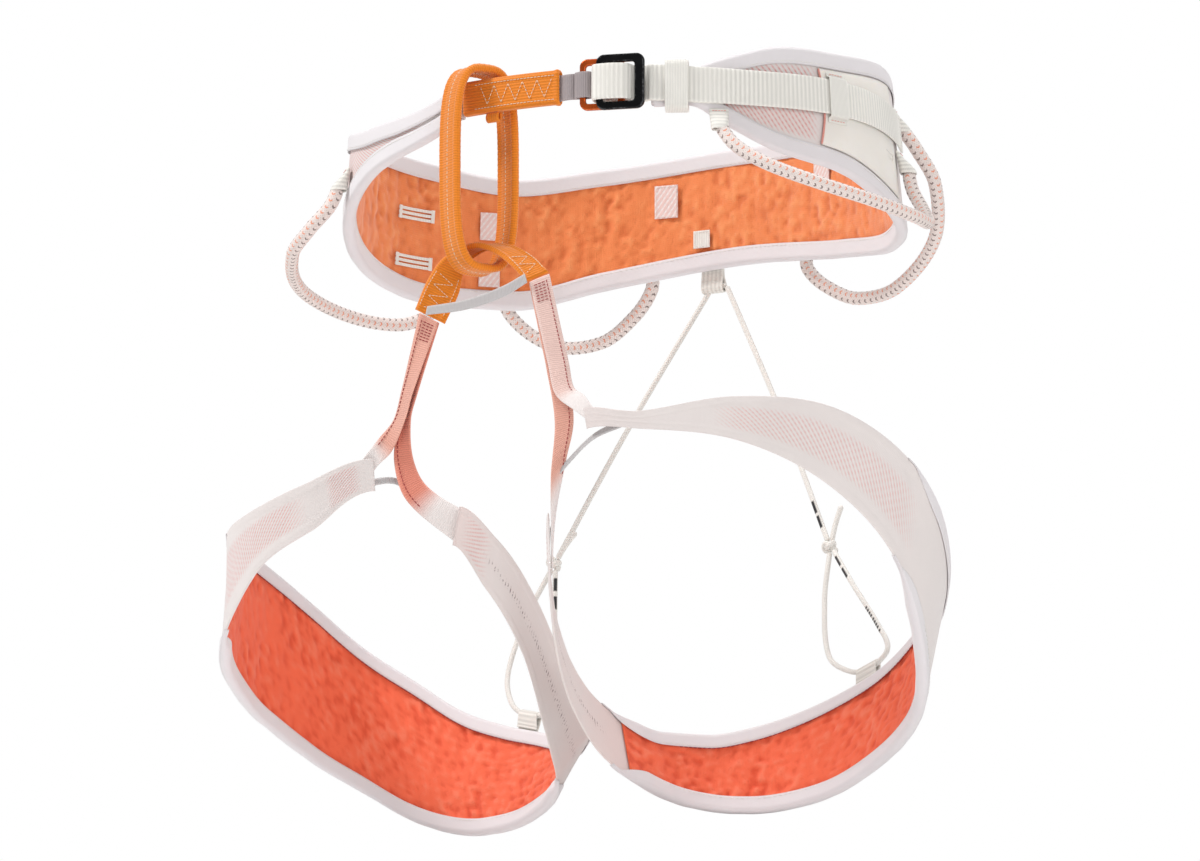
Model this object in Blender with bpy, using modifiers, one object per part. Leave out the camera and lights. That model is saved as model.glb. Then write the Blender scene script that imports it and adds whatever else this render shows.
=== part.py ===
"""Lightweight ski-mountaineering climbing harness, size M, as an assembly of separate pieces.

Design numbers are millimetres in the waist ring's own frame: the wearer faces -Y, the wearer's
left is +X, +Z is up. The frame origin is then moved to the middle of the lumbar facet.
"""

import math

import bmesh
import bpy
from mathutils import Vector

MM = 0.001

# Waist ring: half axes of the inner face, and the belt's stations by bearing from the front.
WAIST_X = 4.0
WAIST_A = 142.0
WAIST_B = 107.0
LUMBAR = (WAIST_X, -WAIST_B * math.cos(math.radians(176.0)), -9.0)
BELT_START = 33.0
BELT_END = 350.0
BELT_EDGES = {
    33: (14.0, -3.9), 42: (14.2, -4.0), 47: (18.0, -11.0), 52: (21.5, -17.0), 60: (26.0, -25.0),
    80: (27.0, -33.0), 100: (29.0, -45.0), 115: (26.0, -49.0), 130: (20.0, -50.0),
    150: (18.0, -45.0), 180: (20.0, -38.0), 210: (15.0, -45.0), 230: (10.0, -54.0),
    250: (14.0, -54.0), 265: (16.0, -50.0), 280: (17.0, -42.0), 300: (12.0, -28.0),
    320: (6.0, -16.0), 338: (6.5, -9.5), 344: (9.5, -6.0), 350: (14.5, -1.0),
}
BELT_FLARE = {
    33: 0.0, 60: 0.06, 90: 0.1, 130: 0.1, 165: 0.0, 195: 0.0, 230: 0.1, 270: 0.1, 300: 0.06,
    327: 0.0, 350: 0.0,
}
LOAD_TAPE = {
    48: (4.0, 7.0), 60: (2.0, 9.0), 90: (-3.0, 12.0), 130: (-15.0, 12.0), 180: (-9.0, 12.0),
    230: (-21.0, 12.0), 280: (-12.0, 12.0), 320: (-5.0, 7.0), 336: (-1.8, 5.5),
    344: (2.0, 5.5), 350: (6.9, 6.0), 356: (7.3, 6.4), 372: (7.3, 6.4),
}
BELT_GRID = [BELT_START] + [float(g) for g in range(40, 352, 8)] + [BELT_END]
LINING = (0.0, 2.0)
TAPE = (2.3, 3.1)
OUTER = (3.4, 4.0)
PATCH = (-0.9, -0.35)
BINDING_SPAN = (-0.9, 4.9)
BINDING_FLAP = 8.0
BINDING_T = 0.6
EDGE_TUCK = 0.3

# Buckle, on the bearing where the strap crosses it.
BUCKLE_PHI = 24.0
BUCKLE_Z = 6.4
STRAP_W = 18.0
STRAP_T = 1.2
STRAP_LINE = {20: 6.4, 31: 6.4, 40: 5.2, 51: 4.2, 71: 4.0, 90: 2.6, 100: 0.8, 112: -1.4}

# Belay loop and the tie-in points.
BELAY = (-9.0, -110.0)
BELAY_TOP = 23.2
BELAY_BOTTOM = -82.0
BELAY_R = 17.0
BELAY_W = 16.5
BELAY_T = 4.0
BELAY_YAW = 25.0
BELAY_OVAL = 0.6

# Leg rings: centre, then stations of (upper radius, upper z, lower radius, lower z) by bearing.
LEG_CENTRE = (102.0, -38.6)
LEG_START = -25.0
LEG_END = 311.0
LEG_LEFT = {
    -25: (94, -161, 92, -171), 0: (93, -168, 91, -177), 30: (88, -163, 87, -185),
    60: (92, -167, 87, -205), 90: (97, -189, 88, -238), 105: (100, -208, 88, -263),
    120: (100, -227, 88, -287), 135: (100, -243, 88, -301), 150: (98, -256, 87, -312),
    165: (96, -269, 85, -322), 180: (94, -279, 83, -331), 195: (92, -288, 82, -336),
    210: (91, -295, 83, -338), 225: (92, -299, 84, -337), 240: (93, -299, 84, -333),
    255: (94, -292, 86, -324), 270: (95, -279, 89, -311), 285: (96, -258, 92, -289),
    300: (97, -228, 95, -258), 311: (98, -206, 97, -231),
}
LEG_RIGHT = {
    -25: (95, -172, 88, -187), 0: (88, -181, 80, -203), 30: (86, -189, 80, -218),
    60: (86, -191, 88, -243), 90: (92, -192, 101, -259), 105: (96, -198, 106, -271),
    120: (99, -211, 106, -286), 135: (100, -230, 100, -302), 150: (98, -247, 91, -318),
    165: (96, -264, 84, -327), 180: (94, -274, 80, -330), 195: (94, -281, 79, -329),
    210: (94, -288, 79, -325), 225: (94, -292, 78, -321), 240: (94, -292, 77, -315),
    255: (94, -283, 78, -307), 270: (95, -264, 83, -293), 285: (99, -237, 90, -265),
    300: (106, -213, 95, -237), 311: (107, -198, 94, -215),
}
LEG_LINING = (-3.4, -0.4)
LEG_OUTER = (0.0, 1.0)
LEG_BINDING = (-4.2, 1.8)
LEG_FLAP = 7.0
LEG_GRID = [LEG_START + 8.0 * k for k in range(43)]
LEG_LINED = {"left": (95.0, 255.0), "right": (63.0, 231.0)}

CORD_R = 3.25
RISER_R = 1.5

ORANGE = ((0.86, 0.24, 0.015), 0.75, 0.0)
LINING_ORANGE = ((0.80, 0.23, 0.075), 0.9, 0.0)
LEG_RED = ((0.85, 0.12, 0.05), 0.9, 0.0)
FABRIC = ((0.85, 0.77, 0.73), 0.85, 0.0)
BINDING = ((0.78, 0.74, 0.76), 0.8, 0.0)
WEBBING = ((0.85, 0.83, 0.76), 0.7, 0.0)
SALMON = ((0.81, 0.37, 0.26), 0.8, 0.0)
GREY = ((0.30, 0.27, 0.27), 0.8, 0.0)
CORD = ((0.83, 0.71, 0.68), 0.7, 0.0)
BLACK = ((0.012, 0.012, 0.013), 0.3, 0.9)
BRONZE = ((0.46, 0.055, 0.01), 0.32, 0.9)


# Placing and interpolation -----------------------------------------------------------------

def place(point):
    return Vector([(point[i] - LUMBAR[i]) * MM for i in range(3)])


def keyed(table, at):
    """Monotone-friendly cubic interpolation through a table's rows, clamped at both ends."""
    keys = sorted(table)
    rows = [table[k] if isinstance(table[k], tuple) else (table[k],) for k in keys]
    at = min(max(at, keys[0]), keys[-1])
    i = max(j for j in range(len(keys) - 1) if keys[j] <= at)
    span = keys[i + 1] - keys[i]
    t = (at - keys[i]) / span

    def slope(j, column):
        if j in (0, len(keys) - 1):
            return 0.0 if len(keys) > 2 else (rows[1][column] - rows[0][column]) / span
        before = (rows[j][column] - rows[j - 1][column]) / (keys[j] - keys[j - 1])
        after = (rows[j + 1][column] - rows[j][column]) / (keys[j + 1] - keys[j])
        return 0.5 * (before + after) if before * after > 0 else 0.0

    out = []
    for c in range(len(rows[0])):
        a = rows[i][c]
        b = rows[i + 1][c]
        m0 = slope(i, c) * span
        m1 = slope(i + 1, c) * span
        h = (2 * t**3 - 3 * t**2 + 1) * a + (t**3 - 2 * t**2 + t) * m0
        out.append(h + (3 * t**2 - 2 * t**3) * b + (t**3 - t**2) * m1)
    return out


def spline(points, count):
    """Evenly spaced samples of a smooth curve through rows of numbers."""
    rows = [Vector(p) for p in points]
    ends = [rows[0] * 2 - rows[1]] + rows + [rows[-1] * 2 - rows[-2]]
    fine = []
    for i in range(1, len(ends) - 2):
        p0, p1, p2, p3 = ends[i - 1:i + 3]
        for k in range(16):
            t = k / 16
            fine.append(0.5 * ((p1 * 2) + (p2 - p0) * t + (p0 * 2 - p1 * 5 + p2 * 4 - p3) * t * t
                               + (p1 * 3 - p0 - p2 * 3 + p3) * t**3))
    fine.append(rows[-1])
    run = [0.0]
    for a, b in zip(fine, fine[1:]):
        run.append(run[-1] + (b.xyz - a.xyz).length)
    out = []
    j = 0
    for k in range(count):
        s = run[-1] * k / (count - 1)
        while j < len(run) - 2 and run[j + 1] < s:
            j += 1
        t = (s - run[j]) / max(run[j + 1] - run[j], 1e-9)
        out.append(fine[j].lerp(fine[j + 1], min(max(t, 0.0), 1.0)))
    return out


def waist_normal(phi):
    p = math.radians(phi)
    return Vector((math.sin(p) / WAIST_A, -math.cos(p) / WAIST_B, 0.0)).normalized()


def waist(phi, z, offset):
    """A point on the waist ring: bearing, height, and distance outward from the inner face."""
    p = math.radians(phi)
    base = Vector((WAIST_X + WAIST_A * math.sin(p), -WAIST_B * math.cos(p), z))
    lean = -z * keyed(BELT_FLARE, phi % 360.0)[0]
    return base + waist_normal(phi) * (offset + lean)


def facet(phi, z, offset):
    """The same point on the flat facet between the belt's own stations."""
    low = max(g for g in BELT_GRID if g <= phi + 1e-6)
    high = min([g for g in BELT_GRID if g > low] or [low + 1.0])
    return waist(low, z, offset).lerp(waist(high, z, offset), (phi - low) / (high - low))


def belt_height(phi, v, margin=0.0):
    top, bottom = keyed(BELT_EDGES, phi)
    return (bottom + margin) * (1.0 - v) + (top - margin) * v


def steps(first, last, count):
    return [first + (last - first) * i / (count - 1) for i in range(count)]


# Makers of solids --------------------------------------------------------------------------

def finish(obj, look):
    colour, roughness, metallic = look
    material = bpy.data.materials.new(obj.name)
    material.use_nodes = True
    shader = material.node_tree.nodes["Principled BSDF"]
    shader.inputs["Base Color"].default_value = (*colour, 1.0)
    shader.inputs["Roughness"].default_value = roughness
    shader.inputs["Metallic"].default_value = metallic
    obj.data.materials.append(material)
    HARNESS.objects.link(obj)
    return obj


def sheet(name, surface, us, vs, thickness, look, closed_u=False, closed_v=False):
    """A grid laid on surface(u, v), then thickened evenly both ways into a closed solid."""
    mesh = bpy.data.meshes.new(name)
    grid = bmesh.new()
    bmesh.ops.create_grid(grid, x_segments=len(us) - 1, y_segments=len(vs) - 1, size=0.5)
    grid.verts.ensure_lookup_table()
    for vert in grid.verts:
        i = round((vert.co.x + 0.5) * (len(us) - 1))
        j = round((vert.co.y + 0.5) * (len(vs) - 1))
        vert.co = place(surface(us[i], vs[j]))
    if closed_u or closed_v:
        bmesh.ops.remove_doubles(grid, verts=grid.verts, dist=0.00001)
    grid.to_mesh(mesh)
    grid.free()
    obj = finish(bpy.data.objects.new(name, mesh), look)
    solid = obj.modifiers.new("thickness", "SOLIDIFY")
    solid.thickness = thickness * MM
    solid.offset = 0.0
    solid.use_even_offset = True
    return obj


def cord(name, points, radius, look, count):
    """A round cord with flat ends along a smooth path."""
    data = bpy.data.curves.new(name, "CURVE")
    data.dimensions = "3D"
    data.bevel_depth = radius * MM
    data.bevel_resolution = 2
    data.use_fill_caps = True
    line = data.splines.new("POLY")
    samples = spline(points, count)
    line.points.add(len(samples) - 1)
    for point, at in zip(line.points, samples):
        point.co = (*place(at), 1.0)
    return finish(bpy.data.objects.new(name, data), look)


def ribbon(name, rows, thickness, look, count, across=2):
    """A webbing through rows of (centre, width direction, half width)."""
    flat = [(*c, *(Vector(w).normalized() * h)) for c, w, h in rows]
    stations = sampled(flat, count)

    def surface(i, v):
        row = stations[i]
        return row[0] + row[1] * v

    return sheet(name, surface, list(range(count)), steps(-1.0, 1.0, across + 1), thickness, look)


def sampled(flat, count):
    centres = [row[:3] for row in flat]
    run = [0.0]
    for a, b in zip(centres, centres[1:]):
        run.append(run[-1] + (Vector(b) - Vector(a)).length)
    table = {s: tuple(row) for s, row in zip(run, flat)}
    out = []
    for s in steps(0.0, run[-1], count):
        row = smooth(table, s)
        out.append((Vector(row[:3]), Vector(row[3:])))
    return out


def smooth(table, at):
    """Cubic through the rows with plain central slopes."""
    keys = sorted(table)
    i = max(j for j in range(len(keys) - 1) if keys[j] <= at + 1e-9)
    span = keys[i + 1] - keys[i]
    t = (at - keys[i]) / span

    def slope(j, column):
        a = max(j - 1, 0)
        b = min(j + 1, len(keys) - 1)
        return (table[keys[b]][column] - table[keys[a]][column]) / (keys[b] - keys[a])

    out = []
    for c in range(len(table[keys[0]])):
        m0 = slope(i, c) * span
        m1 = slope(i + 1, c) * span
        a = table[keys[i]][c]
        b = table[keys[i + 1]][c]
        h = (2 * t**3 - 3 * t**2 + 1) * a + (t**3 - 2 * t**2 + t) * m0
        out.append(h + (3 * t**2 - 2 * t**3) * b + (t**3 - t**2) * m1)
    return out


def ring_sheet(name, section, path, thickness, look):
    """A strap bent round a closed path of (s, n) in a local frame, section gives the frame."""
    rows = path + path[:1]
    return sheet(name, lambda i, v: section(rows[i], v), list(range(len(rows))), steps(-0.5, 0.5, 2),
                 thickness, look, closed_u=True)


# Waist belt --------------------------------------------------------------------------------

def belt_layer(name, layer, tuck, look):
    """A full layer of the belt, its edges drawn outward by up to tuck under the binding's flaps."""
    middle = 0.5 * (layer[0] + layer[1])

    def surface(p, j):
        top, bottom = keyed(BELT_EDGES, p)
        height = top - bottom
        inset = min(BINDING_FLAP + 1.0, 0.5 * height - 0.4)
        drawn = min(tuck, 0.01 * max(height - 25.0, 0.0)) if j in (0, 3) else 0.0
        return waist(p, (bottom, bottom + inset, top - inset, top)[j], middle + drawn)

    return sheet(name, surface, BELT_GRID, [0, 1, 2, 3], layer[1] - layer[0], look)


def belt_binding(name, upper, look):
    low, high = BINDING_SPAN
    sign = 1.0 if upper else -1.0
    turns = [(low, -BINDING_FLAP), (low, 0.7), (high, 0.7), (high, -BINDING_FLAP)]

    def surface(p, j):
        top, bottom = keyed(BELT_EDGES, p)
        edge = top if upper else bottom
        flap = min(BINDING_FLAP, 0.5 * (top - bottom) - 0.8)
        offset, rise = turns[j]
        return waist(p, edge + sign * (rise if rise > 0 else -flap), offset)

    us = [p for p in BELT_GRID if p < 346.0]
    return sheet(name, surface, us, [0, 1, 2, 3], BINDING_T, look)


def belt_patch(name, phi, z, half_phi, half_z, offsets, look):
    middle = 0.5 * (offsets[0] + offsets[1])
    return sheet(name, lambda p, h: facet(p, h, middle), steps(phi - half_phi, phi + half_phi, 3),
                 [z - half_z, z + half_z], offsets[1] - offsets[0], look)


def build_belt():
    belt_layer("waist_lining", LINING, EDGE_TUCK, LINING_ORANGE)
    tape_us = [p for p in BELT_GRID if p > 47.0] + [356.0, 361.0, 366.0, 371.0]

    def tape(p, v):
        centre, half = keyed(LOAD_TAPE, p)
        return waist(p, centre + v * half, 0.5 * (TAPE[0] + TAPE[1]))

    sheet("waist_load_tape", tape, tape_us, [-1.0, 1.0], TAPE[1] - TAPE[0], GREY)
    belt_layer("waist_outer_fabric", OUTER, 0.0, FABRIC)
    belt_binding("waist_binding_upper", True, BINDING)
    belt_binding("waist_binding_lower", False, BINDING)

    def panel(p, v):
        return waist(p, belt_height(p, v, 9.2), 4.75)

    sheet("hip_panel_left", panel, steps(72.0, 104.0, 5), [0.0, 1.0], 0.5, WEBBING)
    patches = {
        "lining_patch_left_front": (156.0, 1.0, 7.0), "lining_patch_left_rear": (196.0, -3.0, 8.5),
        "lining_patch_right_upper": (236.0, -14.0, 7.0), "lining_patch_right_lower": (236.0, -40.0, 4.5),
    }
    for name, (phi, z, half_z) in patches.items():
        belt_patch(name, phi, z, 2.6, half_z, PATCH, SALMON)
    for name, z in (("tool_slot_upper", -12.0), ("tool_slot_lower", -36.0)):
        belt_patch(name, 260.0, z, 3.6, 3.4, PATCH, WEBBING)
    belt_patch("rear_riser_patch", 188.0, -24.0, 1.9, 4.5, PATCH, WEBBING)


def build_front():
    def sleeve(p, j):
        corners = [(1.4, -8.2), (5.6, -8.2), (5.6, 8.2), (1.4, 8.2), (1.4, -8.2)]
        offset, height = corners[j]
        return waist(p, 7.3 + height, offset)

    sheet("tie_in_sleeve", sleeve, steps(-8.5, 13.5, 8), [0, 1, 2, 3, 4], 1.0, ORANGE, closed_v=True)

    def local(s, n, z):
        out = waist_normal(BUCKLE_PHI)
        along = Vector((-out.y, out.x, 0.0))
        return waist(BUCKLE_PHI, 0.0, 0.0) + along * s + out * n + Vector((0.0, 0.0, z + BUCKLE_Z))

    web = [waist(4.0, 0.0, 4.1), waist(9.0, 0.0, 4.1), waist(13.5, 0.0, 4.2)]
    web += [local(s, n, 0.0) for s, n in (
        (-20.5, 5.5), (-16.0, 5.4), (-12.0, 5.2), (-9.1, 6.0), (-8.7, 8.0), (-10.0, 9.6), (-13.0, 9.8),
        (-15.5, 8.8), (-17.1, 7.4))]
    lift = {0: BUCKLE_Z + 0.9, 1: BUCKLE_Z + 0.6, 2: BUCKLE_Z + 0.3}

    def anchor(i, v):
        return web[i] + Vector((0.0, 0.0, lift.get(i, 0.0) + v * 6.6))

    sheet("anchor_webbing", anchor, list(range(len(web))), [-1.0, 1.0], 0.8, GREY)

    frame("buckle_base_frame", local, (-14.5, 8.4), 13.0, (3.0, 3.4), 9.7, 6.2, 8.8, BRONZE)
    frame("buckle_locking_frame", local, (-5.2, 19.4), 14.0, (3.2, 5.0), 9.9, 9.9, 12.6, BLACK)

    line = [local(s, n, 0.0) for s, n in (
        (1.0, 3.1), (-3.6, 3.3), (-6.6, 5.6), (-7.2, 9.2), (-6.2, 13.0), (-2.6, 14.4), (1.5, 14.7),
        (5.2, 14.4), (9.6, 13.2), (11.6, 10.2), (12.8, 6.8), (15.0, 4.9), (18.0, 4.6))]
    line = [(lambda z, at=at: Vector((at.x, at.y, z))) for at in line]
    under = ((48.0, 6.1), (40.0, 6.1), (36.5, 6.1), (33.5, 6.2))
    lower = [(lambda z, p=p, n=n: facet(p, z, n)) for p, n in under]
    lower.append(lambda z, at=local(21.5, 5.2, 0.0): Vector((at.x, at.y, z)))
    lower += [(lambda z, at=local(s, 3.1, 0.0): Vector((at.x, at.y, z))) for s in (18.0, 8.0)]
    tail = [lambda z, at=local(21.5, 6.8, 0.0): Vector((at.x, at.y, z))]
    tail += [(lambda z, p=p, n=n: facet(p, z, n)) for p, n in (
        (33.5, 7.75), (36.5, 7.65), (40.0, 7.65), (48.0, 7.65), (56.0, 6.5), (64.0, 6.15), (72.0, 6.1),
        (80.0, 6.1), (88.0, 6.1), (96.0, 6.1), (104.0, 6.1), (112.0, 6.1))]
    rows = lower + line + tail
    heights = []
    for row in rows:
        at = row(0.0)
        bearing = math.degrees(math.atan2((at.x - WAIST_X) / WAIST_A, -at.y / WAIST_B))
        heights.append(keyed(STRAP_LINE, bearing)[0])
    sheet("waist_strap", lambda i, v: rows[i](heights[i] + v * STRAP_W), list(range(len(rows))),
          [-0.5, 0.5],
          STRAP_T, WEBBING)

    def keeper(s, j):
        corners = [(-2.6, -12.3), (9.4, -12.3), (9.4, 12.3), (-2.6, 12.3), (-2.6, -12.3)]
        offset, height = corners[j]
        out = waist_normal(38.0)
        along = Vector((-out.y, out.x, 0.0))
        return waist(38.0, 5.1 + height, offset) + along * s

    sheet("elastic_keeper", keeper, [-5.8, 5.8], [0, 1, 2, 3, 4], 0.8, WEBBING, closed_v=True)

    def tunnel(p, j):
        profile = [(5.7, -13.2), (5.8, -10.5), (7.7, -9.9), (7.7, 9.9), (5.8, 10.5), (5.7, 13.2)]
        offset, height = profile[j]
        return facet(p, keyed(STRAP_LINE, p)[0] + height, offset)

    sheet("strap_tunnel", tunnel, steps(74.5, 79.5, 3), [0, 1, 2, 3, 4, 5], 0.6, WEBBING)


def frame(name, local, span, half_z, bars, open_half, inner, outer, look):
    """A rounded rectangular buckle frame: two upright bars joined by two cross arms."""
    s0, s1 = span
    mid = 0.5 * (s0 + s1)
    data = bpy.data.curves.new(name, "CURVE")
    data.dimensions = "2D"
    data.fill_mode = "BOTH"
    data.extrude = 0.5 * (outer - inner - 0.7) * MM
    data.bevel_depth = 0.35 * MM
    data.bevel_resolution = 1
    data.offset = -0.35 * MM
    loops = [rounded(s0, s1, half_z, 4.0), rounded(s0 + bars[0], s1 - bars[1], open_half, 1.6)]
    for loop in loops:
        line = data.splines.new("POLY")
        line.points.add(len(loop) - 1)
        for point, (s, z) in zip(line.points, loop):
            point.co = ((s - mid) * MM, z * MM, 0.0, 1.0)
        line.use_cyclic_u = True
    obj = finish(bpy.data.objects.new(name, data), look)
    out = waist_normal(BUCKLE_PHI)
    along = Vector((-out.y, out.x, 0.0))
    obj.rotation_euler = (math.pi / 2, 0.0, math.atan2(along.y, along.x))
    obj.location = place(local(mid, 0.5 * (inner + outer), 0.0))
    return obj


def rounded(s0, s1, half_z, radius):
    out = []
    for cs, cz, start in ((s1 - radius, half_z - radius, 0), (s0 + radius, half_z - radius, 90),
                          (s0 + radius, radius - half_z, 180), (s1 - radius, radius - half_z, 270)):
        for k in range(4):
            a = math.radians(start + 30 * k)
            out.append((cs + radius * math.cos(a), cz + radius * math.sin(a)))
    return out


# Tie-in points, belay loop and gear loops ---------------------------------------------------

def build_belay():
    yaw = math.radians(BELAY_YAW)
    reach = Vector((-math.sin(yaw), -math.cos(yaw), 0.0))
    side = Vector((math.cos(yaw), -math.sin(yaw), 0.0))
    middle = 0.5 * (BELAY_TOP + BELAY_BOTTOM)
    half = 0.5 * (BELAY_TOP - BELAY_BOTTOM - BELAY_T)
    path = []
    for k in range(30):
        c = math.cos(math.radians(12.0 * k))
        s = math.sin(math.radians(12.0 * k))
        wide = math.copysign(abs(c) ** BELAY_OVAL, c)
        high = math.copysign(abs(s) ** BELAY_OVAL, s)
        path.append((BELAY_R * wide, middle + half * high))

    def section(row, v):
        return Vector((*BELAY, row[1])) + reach * row[0] + side * v * BELAY_W

    ring_sheet("belay_loop", section, path, BELAY_T, ORANGE)

    rows = [((-38.0, -109.5, -99.5), (0.83, 0.28, -0.48), 8.6),
            ((-31.0, -109.0, -86.0), (0.8, 0.4, -0.45), 8.6),
            ((-23.5, -109.5, -74.5), (0.55, 0.75, -0.35), 6.2),
            ((-9.0, -110.0, -68.5), (0.0, 1.0, 0.0), 5.4),
            ((5.5, -109.5, -71.5), (0.4, 0.85, 0.3), 5.8), ((17.0, -108.8, -79.5), (0.5, 0.8, 0.4), 6.6),
            ((24.0, -108.5, -87.0), (0.62, 0.66, 0.42), 6.6)]
    ribbon("lower_tie_in", rows, 3.0, ORANGE, 19)
    bridge = [((-36.5, -115.6, -98.5), (0.2, 0.0, 0.9), 2.2),
              ((-12.0, -116.8, -98.5), (0.1, 0.0, 1.0), 2.6),
              ((10.0, -117.4, -92.5), (-0.1, 0.0, 1.0), 3.0),
              ((21.0, -117.4, -85.0), (-0.3, 0.0, 0.9), 2.6)]
    ribbon("leg_bridge_elastic", bridge, 0.9, BINDING, 9, 1)


GEAR_LOOPS = {
    "gear_loop_front_left": [
        (47.0, 9.8, -16.5), (50.0, 14.0, -27.0), (56.0, 19.0, -37.0), (66.0, 24.0, -46.0),
        (78.0, 26.0, -52.0), (90.0, 26.0, -55.0), (99.0, 22.0, -53.0), (104.5, 16.0, -43.0),
        (106.5, 11.0, -32.0), (106.5, 9.8, -22.0)],
    "gear_loop_rear_left": [
        (124.0, 9.8, 7.5), (123.0, 15.0, -2.0), (125.0, 24.0, -19.0), (134.0, 28.0, -42.0),
        (147.0, 25.0, -60.0), (156.0, 20.0, -62.0), (162.0, 14.0, -54.0), (165.5, 10.5, -44.0),
        (165.5, 9.8, -35.0)],
    "gear_loop_front_right": [
        (305.0, 9.8, -17.0), (305.0, 14.0, -27.0), (302.0, 22.0, -37.0), (295.0, 29.0, -46.0),
        (280.0, 31.0, -55.0), (266.0, 25.0, -62.0), (254.0, 16.0, -64.0), (247.0, 11.5, -56.0),
        (245.0, 9.8, -44.0)],
    "gear_loop_rear_right": [
        (233.0, 9.8, -4.0), (232.5, 14.5, -14.0), (232.0, 21.0, -32.0), (229.0, 25.0, -53.0),
        (221.0, 25.0, -68.0), (212.0, 22.0, -68.0), (205.0, 16.0, -57.0), (201.0, 11.5, -45.0),
        (200.5, 9.8, -35.0)],
}
GEAR_TAB_HALF = 3.4


def build_gear():
    for name, rows in GEAR_LOOPS.items():
        cord(name, [waist(phi, z, offset) for phi, offset, z in rows], CORD_R, CORD, 27)
        for word, (phi, _, z) in (("front", rows[0]), ("rear", rows[-1])):
            middle = z + CORD_R + 0.6 + GEAR_TAB_HALF
            side = name.replace("gear_loop_", "")
            sheet(f"gear_tab_{side}_{word}", lambda p, h: facet(p, h, 6.0), steps(phi - 2.2, phi + 2.2, 3),
                  [middle - GEAR_TAB_HALF, middle + GEAR_TAB_HALF], 0.9, WEBBING)


# Leg loops ---------------------------------------------------------------------------------

def leg_surface(side, table):
    sign = 1.0 if side == "left" else -1.0

    def edge(theta, v):
        r_top, z_top, r_low, z_low = keyed(table, theta)
        t = math.radians(theta)
        r = r_low + (r_top - r_low) * v
        z = z_low + (z_top - z_low) * v
        return Vector((sign * (LEG_CENTRE[0] + r * math.sin(t)), LEG_CENTRE[1] - r * math.cos(t), z))

    def point(theta, v, offset):
        at = edge(theta, v)
        ahead = edge(theta + 1.0, v) - edge(theta - 1.0, v)
        up = edge(theta, 1.0) - edge(theta, 0.0)
        out = ahead.cross(up) * sign
        return at + out.normalized() * offset

    return point, edge


def leg_width(edge, theta):
    return (edge(theta, 1.0) - edge(theta, 0.0)).length


def build_leg(side):
    table = LEG_LEFT if side == "left" else LEG_RIGHT
    sign = 1.0 if side == "left" else -1.0
    point, edge = leg_surface(side, table)
    prefix = f"leg_{side}"
    first, last = LEG_LINED[side]

    lined = [g for g in LEG_GRID if first <= g <= last]
    bound = [g for g in LEG_GRID if first - 8.0 <= g <= last + 8.0]

    def layer(offsets):
        def surface(t, j):
            inset = min((LEG_FLAP + 1.0) / leg_width(edge, t), 0.45)
            return point(t, (0.0, inset, 1.0 - inset, 1.0)[j], 0.5 * sum(offsets))
        return surface

    sheet(f"{prefix}_outer_fabric", layer(LEG_OUTER), LEG_GRID, [0, 1, 2, 3], LEG_OUTER[1] - LEG_OUTER[0],
            FABRIC)
    sheet(f"{prefix}_lining", layer(LEG_LINING), lined, [0, 1, 2, 3], LEG_LINING[1] - LEG_LINING[0],
            LEG_RED)
    for upper in (True, False):
        def surface(t, j, upper=upper):
            width = leg_width(edge, t)
            flap = min(LEG_FLAP, 0.5 * width - 1.0) / width
            rim = 0.7 / width
            low, high = LEG_BINDING
            v, offset = [(flap, low), (-rim, low), (-rim, high), (flap, high)][j]
            return point(t, 1.0 - v if upper else v, offset)

        word = "upper" if upper else "lower"
        sheet(f"{prefix}_binding_{word}", surface, bound, [0, 1, 2, 3], 0.6, BINDING)
    return point, edge


CROSS = {"left": 16.0, "right": 4.0}
LEG_STRAPS = {
    "left": {
        "top": ((25.8, -108.5, -89.0), (0.62, 0.66, 0.42)),
        "split": ((40.0, -113.0, -134.0), (0.84, 0.5, 0.1)),
        "outer": ((46.0, -117.5, -151.0), (0.55, 0.2, 0.75)),
        "inner": ((46.0, -117.0, -164.0), (0.84, 0.45, 0.2)),
        "low": ((42.0, -116.0, -188.0), (0.6, 0.1, 0.7)),
    },
    "right": {
        "top": ((-39.0, -109.5, -101.4), (-0.83, -0.28, 0.48)),
        "split": ((-52.0, -114.5, -152.0), (-0.9, 0.35, 0.1)),
        "outer": ((-56.0, -119.5, -166.0), (-0.6, 0.1, 0.6)),
        "inner": ((-51.5, -114.0, -175.0), (-0.7, 0.3, 0.35)),
        "low": ((-44.0, -112.0, -193.0), (-0.5, 0.1, 0.75)),
    },
}


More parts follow.
